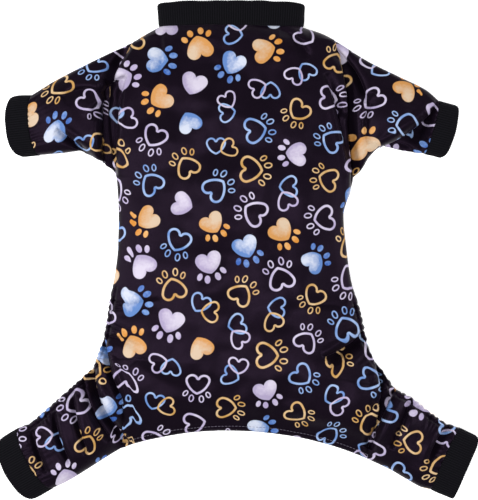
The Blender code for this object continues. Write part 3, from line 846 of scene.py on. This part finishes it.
GROUND = dyed(20, 13, 23)
# The ground's darker tone, for its broad random patches of painted sheen.
GROUND_DARK = dyed(12, 8, 14)
PAD_PALE = (dyed(208, 214, 230), dyed(213, 189, 162), dyed(212, 204, 222))
PAD_DEEP = (dyed(98, 134, 193), dyed(208, 150, 86), dyed(172, 160, 192))
TOE_PALE = (dyed(136, 168, 218), dyed(230, 182, 122), dyed(210, 201, 222))
TOE_DEEP = (dyed(58, 98, 174), dyed(210, 138, 54), dyed(176, 162, 198))
LINE_PALE = (dyed(164, 188, 228), dyed(222, 190, 146), dyed(208, 199, 222))
LINE_DEEP = (dyed(104, 140, 200), dyed(194, 148, 82), dyed(180, 167, 202))
WALE = 0.95 * MM  # pitch of the knit's upright ribs
COURSE = 0.75 * MM


def printed_colour(tree, cloth):
    """Ground and motifs. Solid motifs run from a pale side to a deep one as watercolour does, with
    mottling and a deeper rim, and outlined ones are lines that vary along their length."""
    pad_x, pad_y, has_toes = parts(tree, attribute(tree, "pad"))
    mate_x, mate_y, mate_hue = parts(tree, attribute(tree, "mate"))
    solid, hue, tone = parts(tree, attribute(tree, "ink"))
    pad = heart_distance(tree, pad_x, pad_y)
    side_x = maths(tree, "ABSOLUTE", pad_x)
    toes = [ellipse_distance(tree, side_x, pad_y, (x, y), (w, l), tilt) for x, y, w, l, tilt in TOES]
    toe = maths(tree, "MINIMUM", *toes)
    mottle = noise(tree, cloth, 420.0, 3.0)
    blot = noise(tree, cloth, 75.0, 2.0)

    across = maths(tree, "MULTIPLY_ADD", pad_x, 0.048, 0.50)
    upwards = maths(tree, "MULTIPLY_ADD", pad_y, 0.034, across)
    swirl = maths(tree, "MULTIPLY_ADD", tone, 0.35, upwards)
    wash = maths(tree, "MULTIPLY_ADD", maths(tree, "SUBTRACT", blot, 0.5), 1.3, swirl)
    wash = maths(tree, "MULTIPLY_ADD", maths(tree, "SUBTRACT", mottle, 0.5), 0.9, wash)
    rim = maths(tree, "MULTIPLY_ADD", pad, 0.22, 1.0, clamp=True)
    wash = maths(tree, "MULTIPLY_ADD", rim, -0.62, wash, clamp=True)
    pad_colour = mixed(tree, wash, by_hue(tree, hue, *PAD_DEEP), by_hue(tree, hue, *PAD_PALE))
    toe_wash = maths(tree, "MULTIPLY_ADD", maths(tree, "SUBTRACT", blot, 0.5), 2.4, 0.35)
    toe_wash = maths(tree, "MULTIPLY_ADD", maths(tree, "SUBTRACT", mottle, 0.5), 1.2, toe_wash, clamp=True)
    toe_colour = mixed(tree, toe_wash, by_hue(tree, hue, *TOE_DEEP), by_hue(tree, hue, *TOE_PALE))
    line_wash = maths(tree, "MULTIPLY_ADD", maths(tree, "SUBTRACT", blot, 0.5), 3.4, 0.5, clamp=True)
    line_colour = mixed(tree, line_wash, by_hue(tree, hue, *LINE_DEEP), by_hue(tree, hue, *LINE_PALE))
    mate_colour = mixed(tree, line_wash, by_hue(tree, mate_hue, *LINE_DEEP), by_hue(tree, mate_hue, *LINE_PALE))

    pad_ink = inside(tree, chosen(tree, solid, outlined(tree, pad, LINE), pad))
    toe_ink = inside(tree, chosen(tree, solid, outlined(tree, toe, TOE_LINE), toe))
    toe_ink = maths(tree, "MULTIPLY", toe_ink, has_toes)
    mate_ink = inside(tree, outlined(tree, heart_distance(tree, mate_x, mate_y), LINE))
    pad_colour = mixed(tree, solid, line_colour, pad_colour)
    toe_colour = mixed(tree, solid, line_colour, toe_colour)
    # Painted sheen: broad random patches, lighter and darker, over the ground.
    ground = mixed(tree, noise(tree, cloth, 30.0, 2.0), GROUND_DARK, GROUND)
    colour = mixed(tree, pad_ink, ground, pad_colour)
    colour = mixed(tree, toe_ink, colour, toe_colour)
    return mixed(tree, mate_ink, colour, mate_colour)


def knit_relief(tree, cloth):
    """Fine knit: upright ribs crossed by courses, as a product of two sines, and a little fuzz."""
    u, v, _ = parts(tree, cloth)
    ribs = maths(tree, "SINE", maths(tree, "MULTIPLY", u, 2 * math.pi / WALE))
    rows = maths(tree, "SINE", maths(tree, "MULTIPLY", v, 2 * math.pi / COURSE))
    weave = maths(tree, "MULTIPLY_ADD", rows, 0.35, ribs)
    return maths(tree, "MULTIPLY_ADD", noise(tree, cloth, 900.0, 2.0), 1.5, weave)


def new_material(name, roughness, specular, sheen, sheen_roughness, tint):
    """A material with its node tree and shader, with what is even all over set on the shader."""
    material = bpy.data.materials.new(name)
    material.use_nodes = True
    tree = material.node_tree
    shader = tree.nodes["Principled BSDF"]
    shader.inputs["Roughness"].default_value = roughness
    shader.inputs["Specular IOR Level"].default_value = specular
    shader.inputs["Sheen Weight"].default_value = sheen
    shader.inputs["Sheen Roughness"].default_value = sheen_roughness
    shader.inputs["Sheen Tint"].default_value = tint
    shader.inputs["Specular Tint"].default_value = tint
    return material, tree, shader


def bump(tree, shader, height, strength, distance):
    made = tree.nodes.new("ShaderNodeBump")
    made.inputs["Strength"].default_value = strength
    made.inputs["Distance"].default_value = distance
    feed(tree, made.inputs["Height"], height)
    feed(tree, shader.inputs["Normal"], made.outputs[0])


def uv(tree):
    made = tree.nodes.new("ShaderNodeUVMap")
    made.uv_map = "cloth"
    return made.outputs[0]


def printed_material():
    """Printed side: smooth brushed knit with a faint violet sheen."""
    material, tree, shader = new_material("printed_knit", 0.38, 0.07, 0.02, 0.45, linear(205, 165, 220))
    cloth = uv(tree)
    feed(tree, shader.inputs["Base Color"], printed_colour(tree, cloth))
    bump(tree, shader, knit_relief(tree, cloth), 0.35, 0.08 * MM)
    return material


def reverse_material():
    """Unprinted side: the white of the yarn, greyed by the print that shows through."""
    material, tree, shader = new_material("knit_reverse", 0.85, 0.2, 0.1, 0.5, (1.0, 1.0, 1.0, 1.0))
    cloth = uv(tree)
    patchy = noise(tree, cloth, 60.0, 2.0)
    colour = mixed(tree, patchy, linear(120, 114, 128), linear(168, 162, 176))
    feed(tree, shader.inputs["Base Color"], colour)
    bump(tree, shader, knit_relief(tree, cloth), 0.5, 0.1 * MM)
    return material


def grid_corners(rows, columns, closed):
    """Row and column of the four corners of each quad, the last column past the end on a ring."""
    row, column = np.meshgrid(np.arange(rows - 1), np.arange(columns if closed else columns - 1), indexing="ij")
    row, column = row.ravel()[:, None], column.ravel()[:, None]
    return row + np.array([0, 0, 1, 1]), column + np.array([0, 1, 1, 0])


def turns_out(points, faces):
    """True if the faces turn away from the middle of their own points, by area, summed over all."""
    quads = points[faces]
    normals = np.cross(quads[:, 2] - quads[:, 0], quads[:, 3] - quads[:, 1])
    return float((normals * (quads.mean(axis=1) - points.mean(axis=0))).sum()) > 0


def cloth_mesh(name, points, closed, cloth, layout):
    """A mesh over a grid of points, with the flat cloth's coordinates as its UV map and, for printed
    cloth, the motifs' coordinates as attributes of its corners."""
    rows, columns = points.shape[:2]
    row, column = grid_corners(rows, columns, closed)
    flat = points.reshape(-1, 3) + NECK_MIDDLE
    faces = row * columns + column % columns
    if not turns_out(flat, faces):
        row, column, faces = row[:, ::-1], column[:, ::-1], faces[:, ::-1]
    mesh = bpy.data.meshes.new(name)
    mesh.from_pydata(flat, [], faces.tolist())
    mesh.shade_smooth()
    corners = cloth[row, column]
    layer = mesh.uv_layers.new(name="cloth")
    layer.data.foreach_set("uv", corners.astype(np.float32).ravel())
    if layout is not None:
        for key, values in motif_points(corners, layout).items():
            made = mesh.attributes.new(key, "FLOAT_VECTOR", "CORNER")
            made.data.foreach_set("vector", values.astype(np.float32).ravel())
    piece = bpy.data.objects.new(name, mesh)
    bpy.context.scene.collection.objects.link(piece)
    return piece


def finish_piece(piece, node, materials, wall=None):
    """Materials, the wall, the body the piece is attached to, and the hiding of the part of model.glb that it
    stands in for.
    """
    for material in materials:
        piece.data.materials.append(material)
    if wall:
        solidify = piece.modifiers.new("Wall", "SOLIDIFY")
        solidify.thickness = wall
        solidify.offset = -1.0
        solidify.use_even_offset = False
        solidify.material_offset = len(materials) - 1
    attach(piece, "root")
    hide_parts(node)
    return piece


printed = printed_material()
reverse = reverse_material()

back_points, back_cloth = back_surface()
back_layout = motif_layout(back_cloth.min(axis=(0, 1)), back_cloth.max(axis=(0, 1)), 15)
back = cloth_mesh("printed_back", back_points, False, back_cloth, back_layout)
finish_piece(back, "back_panel", [printed, reverse], PRINTED_WALL)

belly_points, belly_cloth = belly_surface()
belly_layout = motif_layout(belly_cloth.min(axis=(0, 1)), belly_cloth.max(axis=(0, 1)), 12)
belly = cloth_mesh("printed_belly", belly_points, False, belly_cloth, belly_layout)
finish_piece(belly, "belly_panel", [printed, reverse], PRINTED_WALL)


# Hem stitches
# The back panel's raw rear edge is turned under and held by one row of lockstitch in a pale thread,
# a few millimetres above the fold.
STITCH_PITCH = 3.1 * MM
STITCH_LENGTH = 2.4 * MM
THREAD_RADIUS = 0.22 * MM
STITCH_RINGS = ((0.0, 0.25), (0.18, 0.9), (0.5, 1.0), (0.82, 0.9), (1.0, 0.25))  # along, radius
THREAD_SIDES = 6


def stitch_line(points):
    """On each column of the back, the point that lies the hem's depth up from the edge."""
    upwards = points[::-1]
    steps = np.linalg.norm(np.diff(upwards, axis=0), axis=-1)
    depth = np.concatenate([np.zeros((1, points.shape[1])), np.cumsum(steps, axis=0)])
    columns = range(points.shape[1])
    return np.array([[np.interp(HEM_DEPTH, depth[:, c], upwards[:, c, k]) for k in range(3)] for c in columns])


def thread_material():
    material, tree, shader = new_material("hem_thread", 0.6, 0.2, 0.0, 0.5, (1.0, 1.0, 1.0, 1.0))
    texture = tree.nodes.new("ShaderNodeTexCoord")
    worn = noise(tree, texture.outputs["Object"], 300.0, 2.0)
    feed(tree, shader.inputs["Base Color"], mixed(tree, worn, dyed(84, 80, 92), dyed(128, 122, 138)))
    return material


def hem_stitches(line):
    """Short spindles of thread end to end along a line, each half sunk into the cloth."""
    size = np.concatenate([[0.0], np.cumsum(np.linalg.norm(np.diff(line, axis=0), axis=-1))])
    starts = np.arange(1.0 * MM, size[-1] - STITCH_LENGTH, STITCH_PITCH)
    angle = np.linspace(0, 2 * np.pi, THREAD_SIDES, endpoint=False)
    points, faces = [], []
    for start in starts:
        first = sum(len(block) for block in points)
        for along, radius in STITCH_RINGS:
            at = start + along * STITCH_LENGTH
            centre, ahead = [
                np.array([np.interp(s, size, line[:, k]) for k in range(3)]) for s in (at, at + 0.2 * MM)
            ]
            way = (ahead - centre) / np.linalg.norm(ahead - centre)
            across = np.cross(way, (0.0, 0.0, 1.0))
            up = np.cross(across, way)
            ring = np.cos(angle)[:, None] * across + np.sin(angle)[:, None] * up
            points.append(centre + ring * radius * THREAD_RADIUS + NECK_MIDDLE)
        row, column = grid_corners(len(STITCH_RINGS), THREAD_SIDES, True)
        faces += (first + row * THREAD_SIDES + column % THREAD_SIDES).tolist()
        last = first + (len(STITCH_RINGS) - 1) * THREAD_SIDES
        faces.append(list(range(first, first + THREAD_SIDES))[::-1])
        faces.append(list(range(last, last + THREAD_SIDES)))
    mesh = bpy.data.meshes.new("hem_stitches")
    mesh.from_pydata(np.concatenate(points), [], faces)
    mesh.shade_smooth()
    piece = bpy.data.objects.new("hem_stitches", mesh)
    bpy.context.scene.collection.objects.link(piece)
    return piece


stitches = hem_stitches(stitch_line(back_points))
finish_piece(stitches, "back_panel", [thread_material()])


# Front sleeves and hind legs
# Each limb is a tube of the same knit, set into its armhole or hip and closed at its end by a rib
# cuff. The hind legs are puckered along the front edge by an elastic seam that starts on the flank.
SLEEVE_HEIGHT = 0.027
LEG_HEIGHT = 0.025
CUFF_HEIGHT = 0.021
LIMB_STEP = 1.1 * MM
SEAM_TUCK = 0.6 * MM  # how far a limb's root runs in under the body's edge
UNDER_CLEAR = 1.2 * MM  # the least height of the under side's edge in a crease
CREASE_FADE = 9.0 * MM  # the creases fade out over this length before a cuff
PUCKER_DEPTH = 0.5 * MM
PUCKER_PITCH = 5.2 * MM


def straight(curve, share):
    """The straight line between a curve's two ends, at the same shares."""
    return curve[0] + (curve[-1] - curve[0]) * share[:, None]


def limb_half(name, along, share, upper):
    """Half of a limb's tube: plan points between its four edges, each pair blended and the straight
    part taken off once, with puffed sections into which the height of the body's seam fades."""
    side, root = LIMBS[name][:2]
    upper_edge, lower_edge, ring, seam = limb_edges(name, along, share)
    apart = ring[-1] - ring[0]
    off_seam = np.array([apart[1], -apart[0]]) / math.hypot(*apart)
    off_seam *= math.copysign(1.0, off_seam[0] * side)
    far, across = along[:, None, None], share[None, :, None]
    plan = (
        upper_edge[:, None, :] * (1 - across)
        + lower_edge[:, None, :] * across
        + (ring - straight(ring, share)) * (1 - far)
        + (seam - straight(seam, share)) * far
    )
    plan = plan - off_seam * SEAM_TUCK * np.clip(1 - far * 12, 0, 1)
    stations = root + share
    middle = SLEEVE_HEIGHT if root == 1 else LEG_HEIGHT
    long = SLEEVE_LENGTH if root == 1 else LEG_LENGTH
    crowns = through(((0, middle), (0.5, middle), (1, CUFF_HEIGHT)), 1, along)[:, None]
    far = along[:, None]
    fold = through(BODY_PUFF, 2, stations) * BODY_HEIGHT * (1 - far) + CUFF_HEIGHT / 2 * far
    calm = np.clip((1 - far) * long / CREASE_FADE, 0, 1)
    calm = (calm**2 * (3 - 2 * calm))[..., None]
    if not upper:
        height = under_height(fold, share)
        smooth = np.concatenate([plan, height[..., None]], axis=-1)
        pressed, sunk = creased(plan, height, UNDER_CLEAR)
        plan = plan + (pressed - plan) * calm
        height = height + (np.maximum(sunk, 0) - height) * calm[..., 0]
        if root == 3:
            plan, height = gathered(plan, height, gather_edge(side), False)
        return np.concatenate([plan, height[..., None]], axis=-1), smooth
    height = upper_height(fold, crowns, share, FOLD_FULLNESS)
    height = height + (edge_height(stations) - height[0]) * (1 - far) ** 2
    round_off = arc(share)[None, :]
    height += ripples(plan, 21 + root, 26 * MM, 0.35 * MM) * round_off * np.sin(np.pi * far)
    wide = math.hypot(*(seam[-1] - seam[0]))
    wave = np.sin(2 * np.pi * share * wide / PUCKER_PITCH + 1.3 * np.sin(5 * np.pi * share))
    near_cuff = np.exp(-(1 - far) * (SLEEVE_LENGTH / (9 * MM)))
    height += PUCKER_DEPTH * wave[None, :] * near_cuff * round_off
    plain, smooth = plan, height
    plan, height = creased(plan, height, CREASE_CLEAR)
    plan = plain + (plan - plain) * calm
    height = smooth + (height - smooth) * calm[..., 0]
    smooth = np.concatenate([plain, (smooth + (height - smooth) * CREASE_CLOTH)[..., None]], axis=-1)
    if root == 3:
        plan, height = gathered(plan, height, gather_edge(side), True)
    return np.concatenate([plan, height[..., None]], axis=-1), smooth


def limb_surface(name):
    """A limb's whole tube, its upper half and then its under half back to the first edge, and the same
    without its gathers, from which the cloth is measured."""
    side, root = LIMBS[name][:2]
    edges = limb_edges(name, np.linspace(0, 1, 20), np.linspace(0, 1, 20))
    long = max(np.hypot(*np.diff(edge, axis=0).T).sum() for edge in edges[:2])
    wide = np.hypot(*np.diff(edges[2], axis=0).T).sum()
    along = np.linspace(0, 1, round(long / LIMB_STEP) + 1)
    share = panel_shares(round(1.25 * wide / LIMB_STEP))
    upper = limb_half(name, along, share, True)
    under = limb_half(name, along, share, False)
    return [np.concatenate([top, below[:, -2:0:-1]], axis=1) for top, below in zip(upper, under)]


def tube_lengths(points, out):
    """Where each point lies on the flat cloth of a tube: its distance along the limb, and the length
    round the ring from the middle of the upper side, with one more column that closes the ring."""
    ringed = np.concatenate([points, points[:, :1]], axis=1)
    steps = np.linalg.norm(np.diff(ringed, axis=1), axis=-1)
    round_it = np.concatenate([np.zeros((len(points), 1)), np.cumsum(steps, axis=1)], axis=1)
    quarter = points.shape[1] // 4
    round_it -= round_it[:, quarter][:, None]
    along = ringed[..., :2] @ out
    return np.stack([along, round_it], axis=-1)


LIMB_PRINT_SEED = 51

for seed, name in enumerate(LIMBS):
    limb_points, smooth_points = limb_surface(name)
    limb_cloth = tube_lengths(smooth_points, limb_plan(name)[2])
    limb_layout = motif_layout(limb_cloth.min(axis=(0, 1)), limb_cloth.max(axis=(0, 1)), LIMB_PRINT_SEED + seed)
    limb = cloth_mesh("printed_" + name, limb_points, True, limb_cloth, limb_layout)
    finish_piece(limb, name, [printed, reverse], PRINTED_WALL)


# Rib bands
# The collar and the four cuffs are folded bands of black rib knit, sewn on by their raw edges, with
# the fold at the open end. Their ribs run from the seam to the fold.
COLLAR_HEIGHT = 0.0228
COLLAR_TOP_HEIGHT = 0.021
SLEEVE_CUFF_LENGTH = 0.0212
LEG_CUFF_LENGTH = 0.0225
RIB_WALL = 2.2 * MM
RIB_PITCH = 2.1 * MM
RIB_DEPTH = 0.15 * MM
SAMPLES_PER_RIB = 6
BAND_ROWS = 14
LIP_ROWS = 5
CUFF_REACH = {
    # name: upper, lower, middle
    "sleeve_left": (0.69, 0.42, 0.94),
    "sleeve_right": (0.60, 0.41, 0.88),
    "leg_left": (0.64, 0.66, 0.97),
    "leg_right": (0.58, 0.82, 0.99),
}
COLLAR_REACH = (0.72, 0.72, 0.96)
COLLAR_FLARE = 0.036  # how much wider the collar is at its fold than at the neck seam


def band_surface(seam_plan, out, length, reach, folds, crowns, flare, seed):
    """A rib band as an outer wall, a rounded lip and an inner wall, closed at the seam. It widens by
    its flare as the root of the length. The ring is resampled so that a whole number of ribs goes
    round it, and each rib is a raised cosine."""
    angle = np.linspace(0, 2 * np.pi, 1201)

    def ring(angle, row):
        share = (1 - np.cos(angle)) / 2
        full = reach[0] * (1 - share) + reach[1] * share
        full = full + (reach[2] - full) * arc(share) ** 0.35
        seam, middle = seam_plan(share), seam_plan(np.array([0.5]))
        plan = middle + (seam - middle) * (1 + flare * row**0.5) + out * (length * row * full)[:, None]
        fold, crown = folds[0] + (folds[1] - folds[0]) * row, crowns[0] + (crowns[1] - crowns[0]) * row
        upper = upper_height(fold, crown, share, FOLD_FULLNESS)
        under = under_height(fold, share)
        height = np.where(angle <= np.pi, upper, under)
        return np.concatenate([plan, height[:, None]], axis=-1)

    dense = ring(angle, 0.5)
    size = np.concatenate([[0.0], np.cumsum(np.linalg.norm(np.diff(dense, axis=0), axis=-1))])
    ribs = round(size[-1] / RIB_PITCH)
    count = ribs * SAMPLES_PER_RIB
    around = np.interp(np.linspace(0, size[-1], count + 1)[:-1], size, angle)
    rows = np.linspace(0, 1, BAND_ROWS)
    walls = np.stack([ring(around, row) for row in rows])
    walls[..., 2] = np.maximum(walls[..., 2], RIB_DEPTH)
    sideways = np.roll(walls, -1, axis=1) - np.roll(walls, 1, axis=1)
    forwards = np.gradient(walls, axis=0)
    normal = np.cross(sideways, forwards)
    normal /= np.linalg.norm(normal, axis=-1, keepdims=True)
    middle = walls.mean(axis=1, keepdims=True)
    normal *= np.sign((normal * (walls - middle)).sum())
    forwards /= np.linalg.norm(forwards, axis=-1, keepdims=True)
    phase = 2 * np.pi * np.arange(count) / SAMPLES_PER_RIB
    rib = RIB_DEPTH * np.cos(phase)[None, :, None]
    slack = ripples(walls[..., :2], seed, 24 * MM, 0.25 * MM)[..., None]
    outer = walls + normal * (rib + slack * np.clip(walls[..., 2:] / (6 * MM) - 0.3, 0, 1))
    inner = walls - normal * (RIB_WALL + rib * 0.5)
    turn = np.linspace(0, np.pi, LIP_ROWS + 2)[1:-1, None, None]
    centre, half = (outer[-1] + inner[-1]) / 2, (outer[-1] - inner[-1]) / 2
    bulge = np.linalg.norm(half, axis=-1, keepdims=True)
    lip = centre + half * np.cos(turn) + forwards[-1] * bulge * np.sin(turn)
    return np.concatenate([outer, lip, inner[::-1]], axis=0), size[-1]


def band_mesh(name, points, perimeter, length):
    """A band's mesh, closed both ways, with lengths round and along it as its UV map."""
    rows, columns = points.shape[:2]
    row, column = grid_corners(rows + 1, columns, True)
    flat = points.reshape(-1, 3) + NECK_MIDDLE
    faces = (row % rows) * columns + column % columns
    if not turns_out(flat, faces):
        row, column, faces = row[:, ::-1], column[:, ::-1], faces[:, ::-1]
    mesh = bpy.data.meshes.new(name)
    mesh.from_pydata(flat, [], faces.tolist())
    mesh.shade_smooth()
    layer = mesh.uv_layers.new(name="cloth")
    corners = np.stack([column * perimeter / columns, row * 2 * length / rows], axis=-1)
    layer.data.foreach_set("uv", corners.astype(np.float32).ravel())
    piece = bpy.data.objects.new(name, mesh)
    bpy.context.scene.collection.objects.link(piece)
    return piece


RIB_BLACK = dyed(20, 19, 23)
# The darker rib colour is painted shade for the grooves between the ribs, and random fuzz also mixes it in.
RIB_GROOVE_SHADE_AND_FUZZ = dyed(11, 11, 13)


def rib_material():
    """Black rib knit: matt, with shade painted into the grooves between the ribs and varied by random fuzz, and
    with small loops along each rib.
    """
    material, tree, shader = new_material("black_rib", 0.80, 0.06, 0.05, 0.5, linear(150, 150, 165))
    cloth = uv(tree)
    u, v, _ = parts(tree, cloth)
    crest = maths(tree, "COSINE", maths(tree, "MULTIPLY", u, 2 * math.pi / RIB_PITCH))
    crest = maths(tree, "MULTIPLY_ADD", crest, 0.5, 0.5)
    fuzz = noise(tree, cloth, 700.0, 2.0)
    # Painted shade: the colour darkens away from each rib's crest, into the grooves, and random fuzz varies it.
    shade = maths(tree, "MULTIPLY_ADD", maths(tree, "SUBTRACT", fuzz, 0.5), 0.8, crest, clamp=True)
    feed(tree, shader.inputs["Base Color"], mixed(tree, shade, RIB_GROOVE_SHADE_AND_FUZZ, RIB_BLACK))
    loops = maths(tree, "SINE", maths(tree, "MULTIPLY", v, 2 * math.pi / COURSE))
    bump(tree, shader, maths(tree, "MULTIPLY_ADD", fuzz, 2.0, loops), 0.4, 0.08 * MM)
    return material


rib = rib_material()


def add_band(node, seam_plan, out, length, reach, folds, crowns, flare, seed):
    points, perimeter = band_surface(seam_plan, out, length, reach, folds, crowns, flare, seed)
    piece = band_mesh("rib_" + node, points, perimeter, length)
    finish_piece(piece, node, [rib])


def neck_seam(share):
    left, right = body_edge(-1, 0.0), body_edge(1, 0.0)
    return left + (right - left) * share[:, None]


neck_fold = BODY_PUFF[0, 2] * BODY_HEIGHT
add_band(
    "collar",
    neck_seam,
    np.array([0.0, 1.0]),
    COLLAR_HEIGHT,
    COLLAR_REACH,
    (neck_fold, COLLAR_TOP_HEIGHT / 2),
    (NECK_HEIGHT, COLLAR_TOP_HEIGHT),
    COLLAR_FLARE,
    51,
)
for seed, name in enumerate(LIMBS):
    part, hand = name.split("_")
    add_band(
        f"{part}_cuff_{hand}",
        lambda share, name=name: seam_curve(name, share),
        limb_plan(name)[2],
        SLEEVE_CUFF_LENGTH if part == "sleeve" else LEG_CUFF_LENGTH,
        CUFF_REACH[name],
        (CUFF_HEIGHT / 2, CUFF_HEIGHT / 2),
        (CUFF_HEIGHT, CUFF_HEIGHT),
        0.0,
        52 + seed,
    )


# Floor, light and camera
# The garment lies on a plain white table that glows a little, under a soft light overhead and weaker
# ones from the picture's top and from both sides, and is seen from straight above.
FLOOR_SIZE = 24.0
PIXEL = 0.9 * MM  # what one pixel of the photograph spans at the garment's outline
PICTURE = (478, 500)
LENS = 100.0
SENSOR = 36.0
OUTLINE_HEIGHT = 12 * MM
VIEW_MIDDLE = (7.2 * MM, -200.7 * MM)  # the picture's middle, from the middle of the neck seam
TABLE_GLOW = 0.45  # the table is lit a little from below, so that the garment casts hardly a shadow


def add_floor():
    half = FLOOR_SIZE / 2
    mesh = bpy.data.meshes.new("floor")
    mesh.from_pydata([(-half, -half, 0), (half, -half, 0), (half, half, 0), (-half, half, 0)], [], [(0, 1, 2, 3)])
    material, tree, shader = new_material("white_table", 0.9, 0.1, 0.0, 0.5, (1.0, 1.0, 1.0, 1.0))
    texture = tree.nodes.new("ShaderNodeTexCoord")
    fine = noise(tree, texture.outputs["Object"], 40.0, 2.0)
    colour = mixed(tree, fine, (0.90, 0.90, 0.90, 1.0), (0.93, 0.93, 0.93, 1.0))
    feed(tree, shader.inputs["Base Color"], colour)
    shader.inputs["Emission Color"].default_value = (1.0, 1.0, 1.0, 1.0)
    shader.inputs["Emission Strength"].default_value = TABLE_GLOW
    mesh.materials.append(material)
    floor = bpy.data.objects.new("floor", mesh)
    floor.location.z = -0.3 * MM
    bpy.context.scene.collection.objects.link(floor)


def add_light(name, place, size, power, aim):
    light = bpy.data.lights.new(name, "AREA")
    light.shape = "RECTANGLE"
    light.size, light.size_y = size
    light.energy = power
    lamp = bpy.data.objects.new(name, light)
    lamp.location = place
    direction = np.array(aim) - np.array(place)
    flat = math.hypot(direction[0], direction[1])
    lamp.rotation_euler = (math.atan2(flat, -direction[2]), 0.0, math.atan2(direction[0], -direction[1]) + math.pi)
    bpy.context.scene.collection.objects.link(lamp)


def add_camera():
    across = max(PICTURE) * PIXEL
    camera = bpy.data.cameras.new("camera")
    camera.lens = LENS
    camera.sensor_width = SENSOR
    camera.clip_start = 0.05
    lens = bpy.data.objects.new("camera", camera)
    lens.location = (
        NECK_MIDDLE[0] + VIEW_MIDDLE[0],
        NECK_MIDDLE[1] + VIEW_MIDDLE[1],
        OUTLINE_HEIGHT + across * LENS / SENSOR,
    )
    bpy.context.scene.collection.objects.link(lens)
    bpy.context.scene.camera = lens


def add_world():
    world = bpy.data.worlds.new("studio")
    world.use_nodes = True
    background = world.node_tree.nodes["Background"]
    background.inputs["Color"].default_value = (1.0, 1.0, 1.0, 1.0)
    background.inputs["Strength"].default_value = 0.28
    bpy.context.scene.world = world
    bpy.context.scene.view_settings.view_transform = "Standard"


add_floor()
add_light("overhead", (-0.26, -0.32, 1.6), (0.6, 0.6), 25.0, (-0.03, -0.03, 0.0))
add_light("top", (0.0, 1.2, 0.9), (0.9, 0.4), 3.5, (0.0, 0.0, 0.0))
add_light("left", (-1.3, 0.0, 0.75), (0.7, 0.5), 19.0, (0.0, 0.0, 0.0))
add_light("right", (1.3, 0.0, 0.75), (0.7, 0.5), 14.0, (0.0, 0.0, 0.0))
add_camera()
add_world()
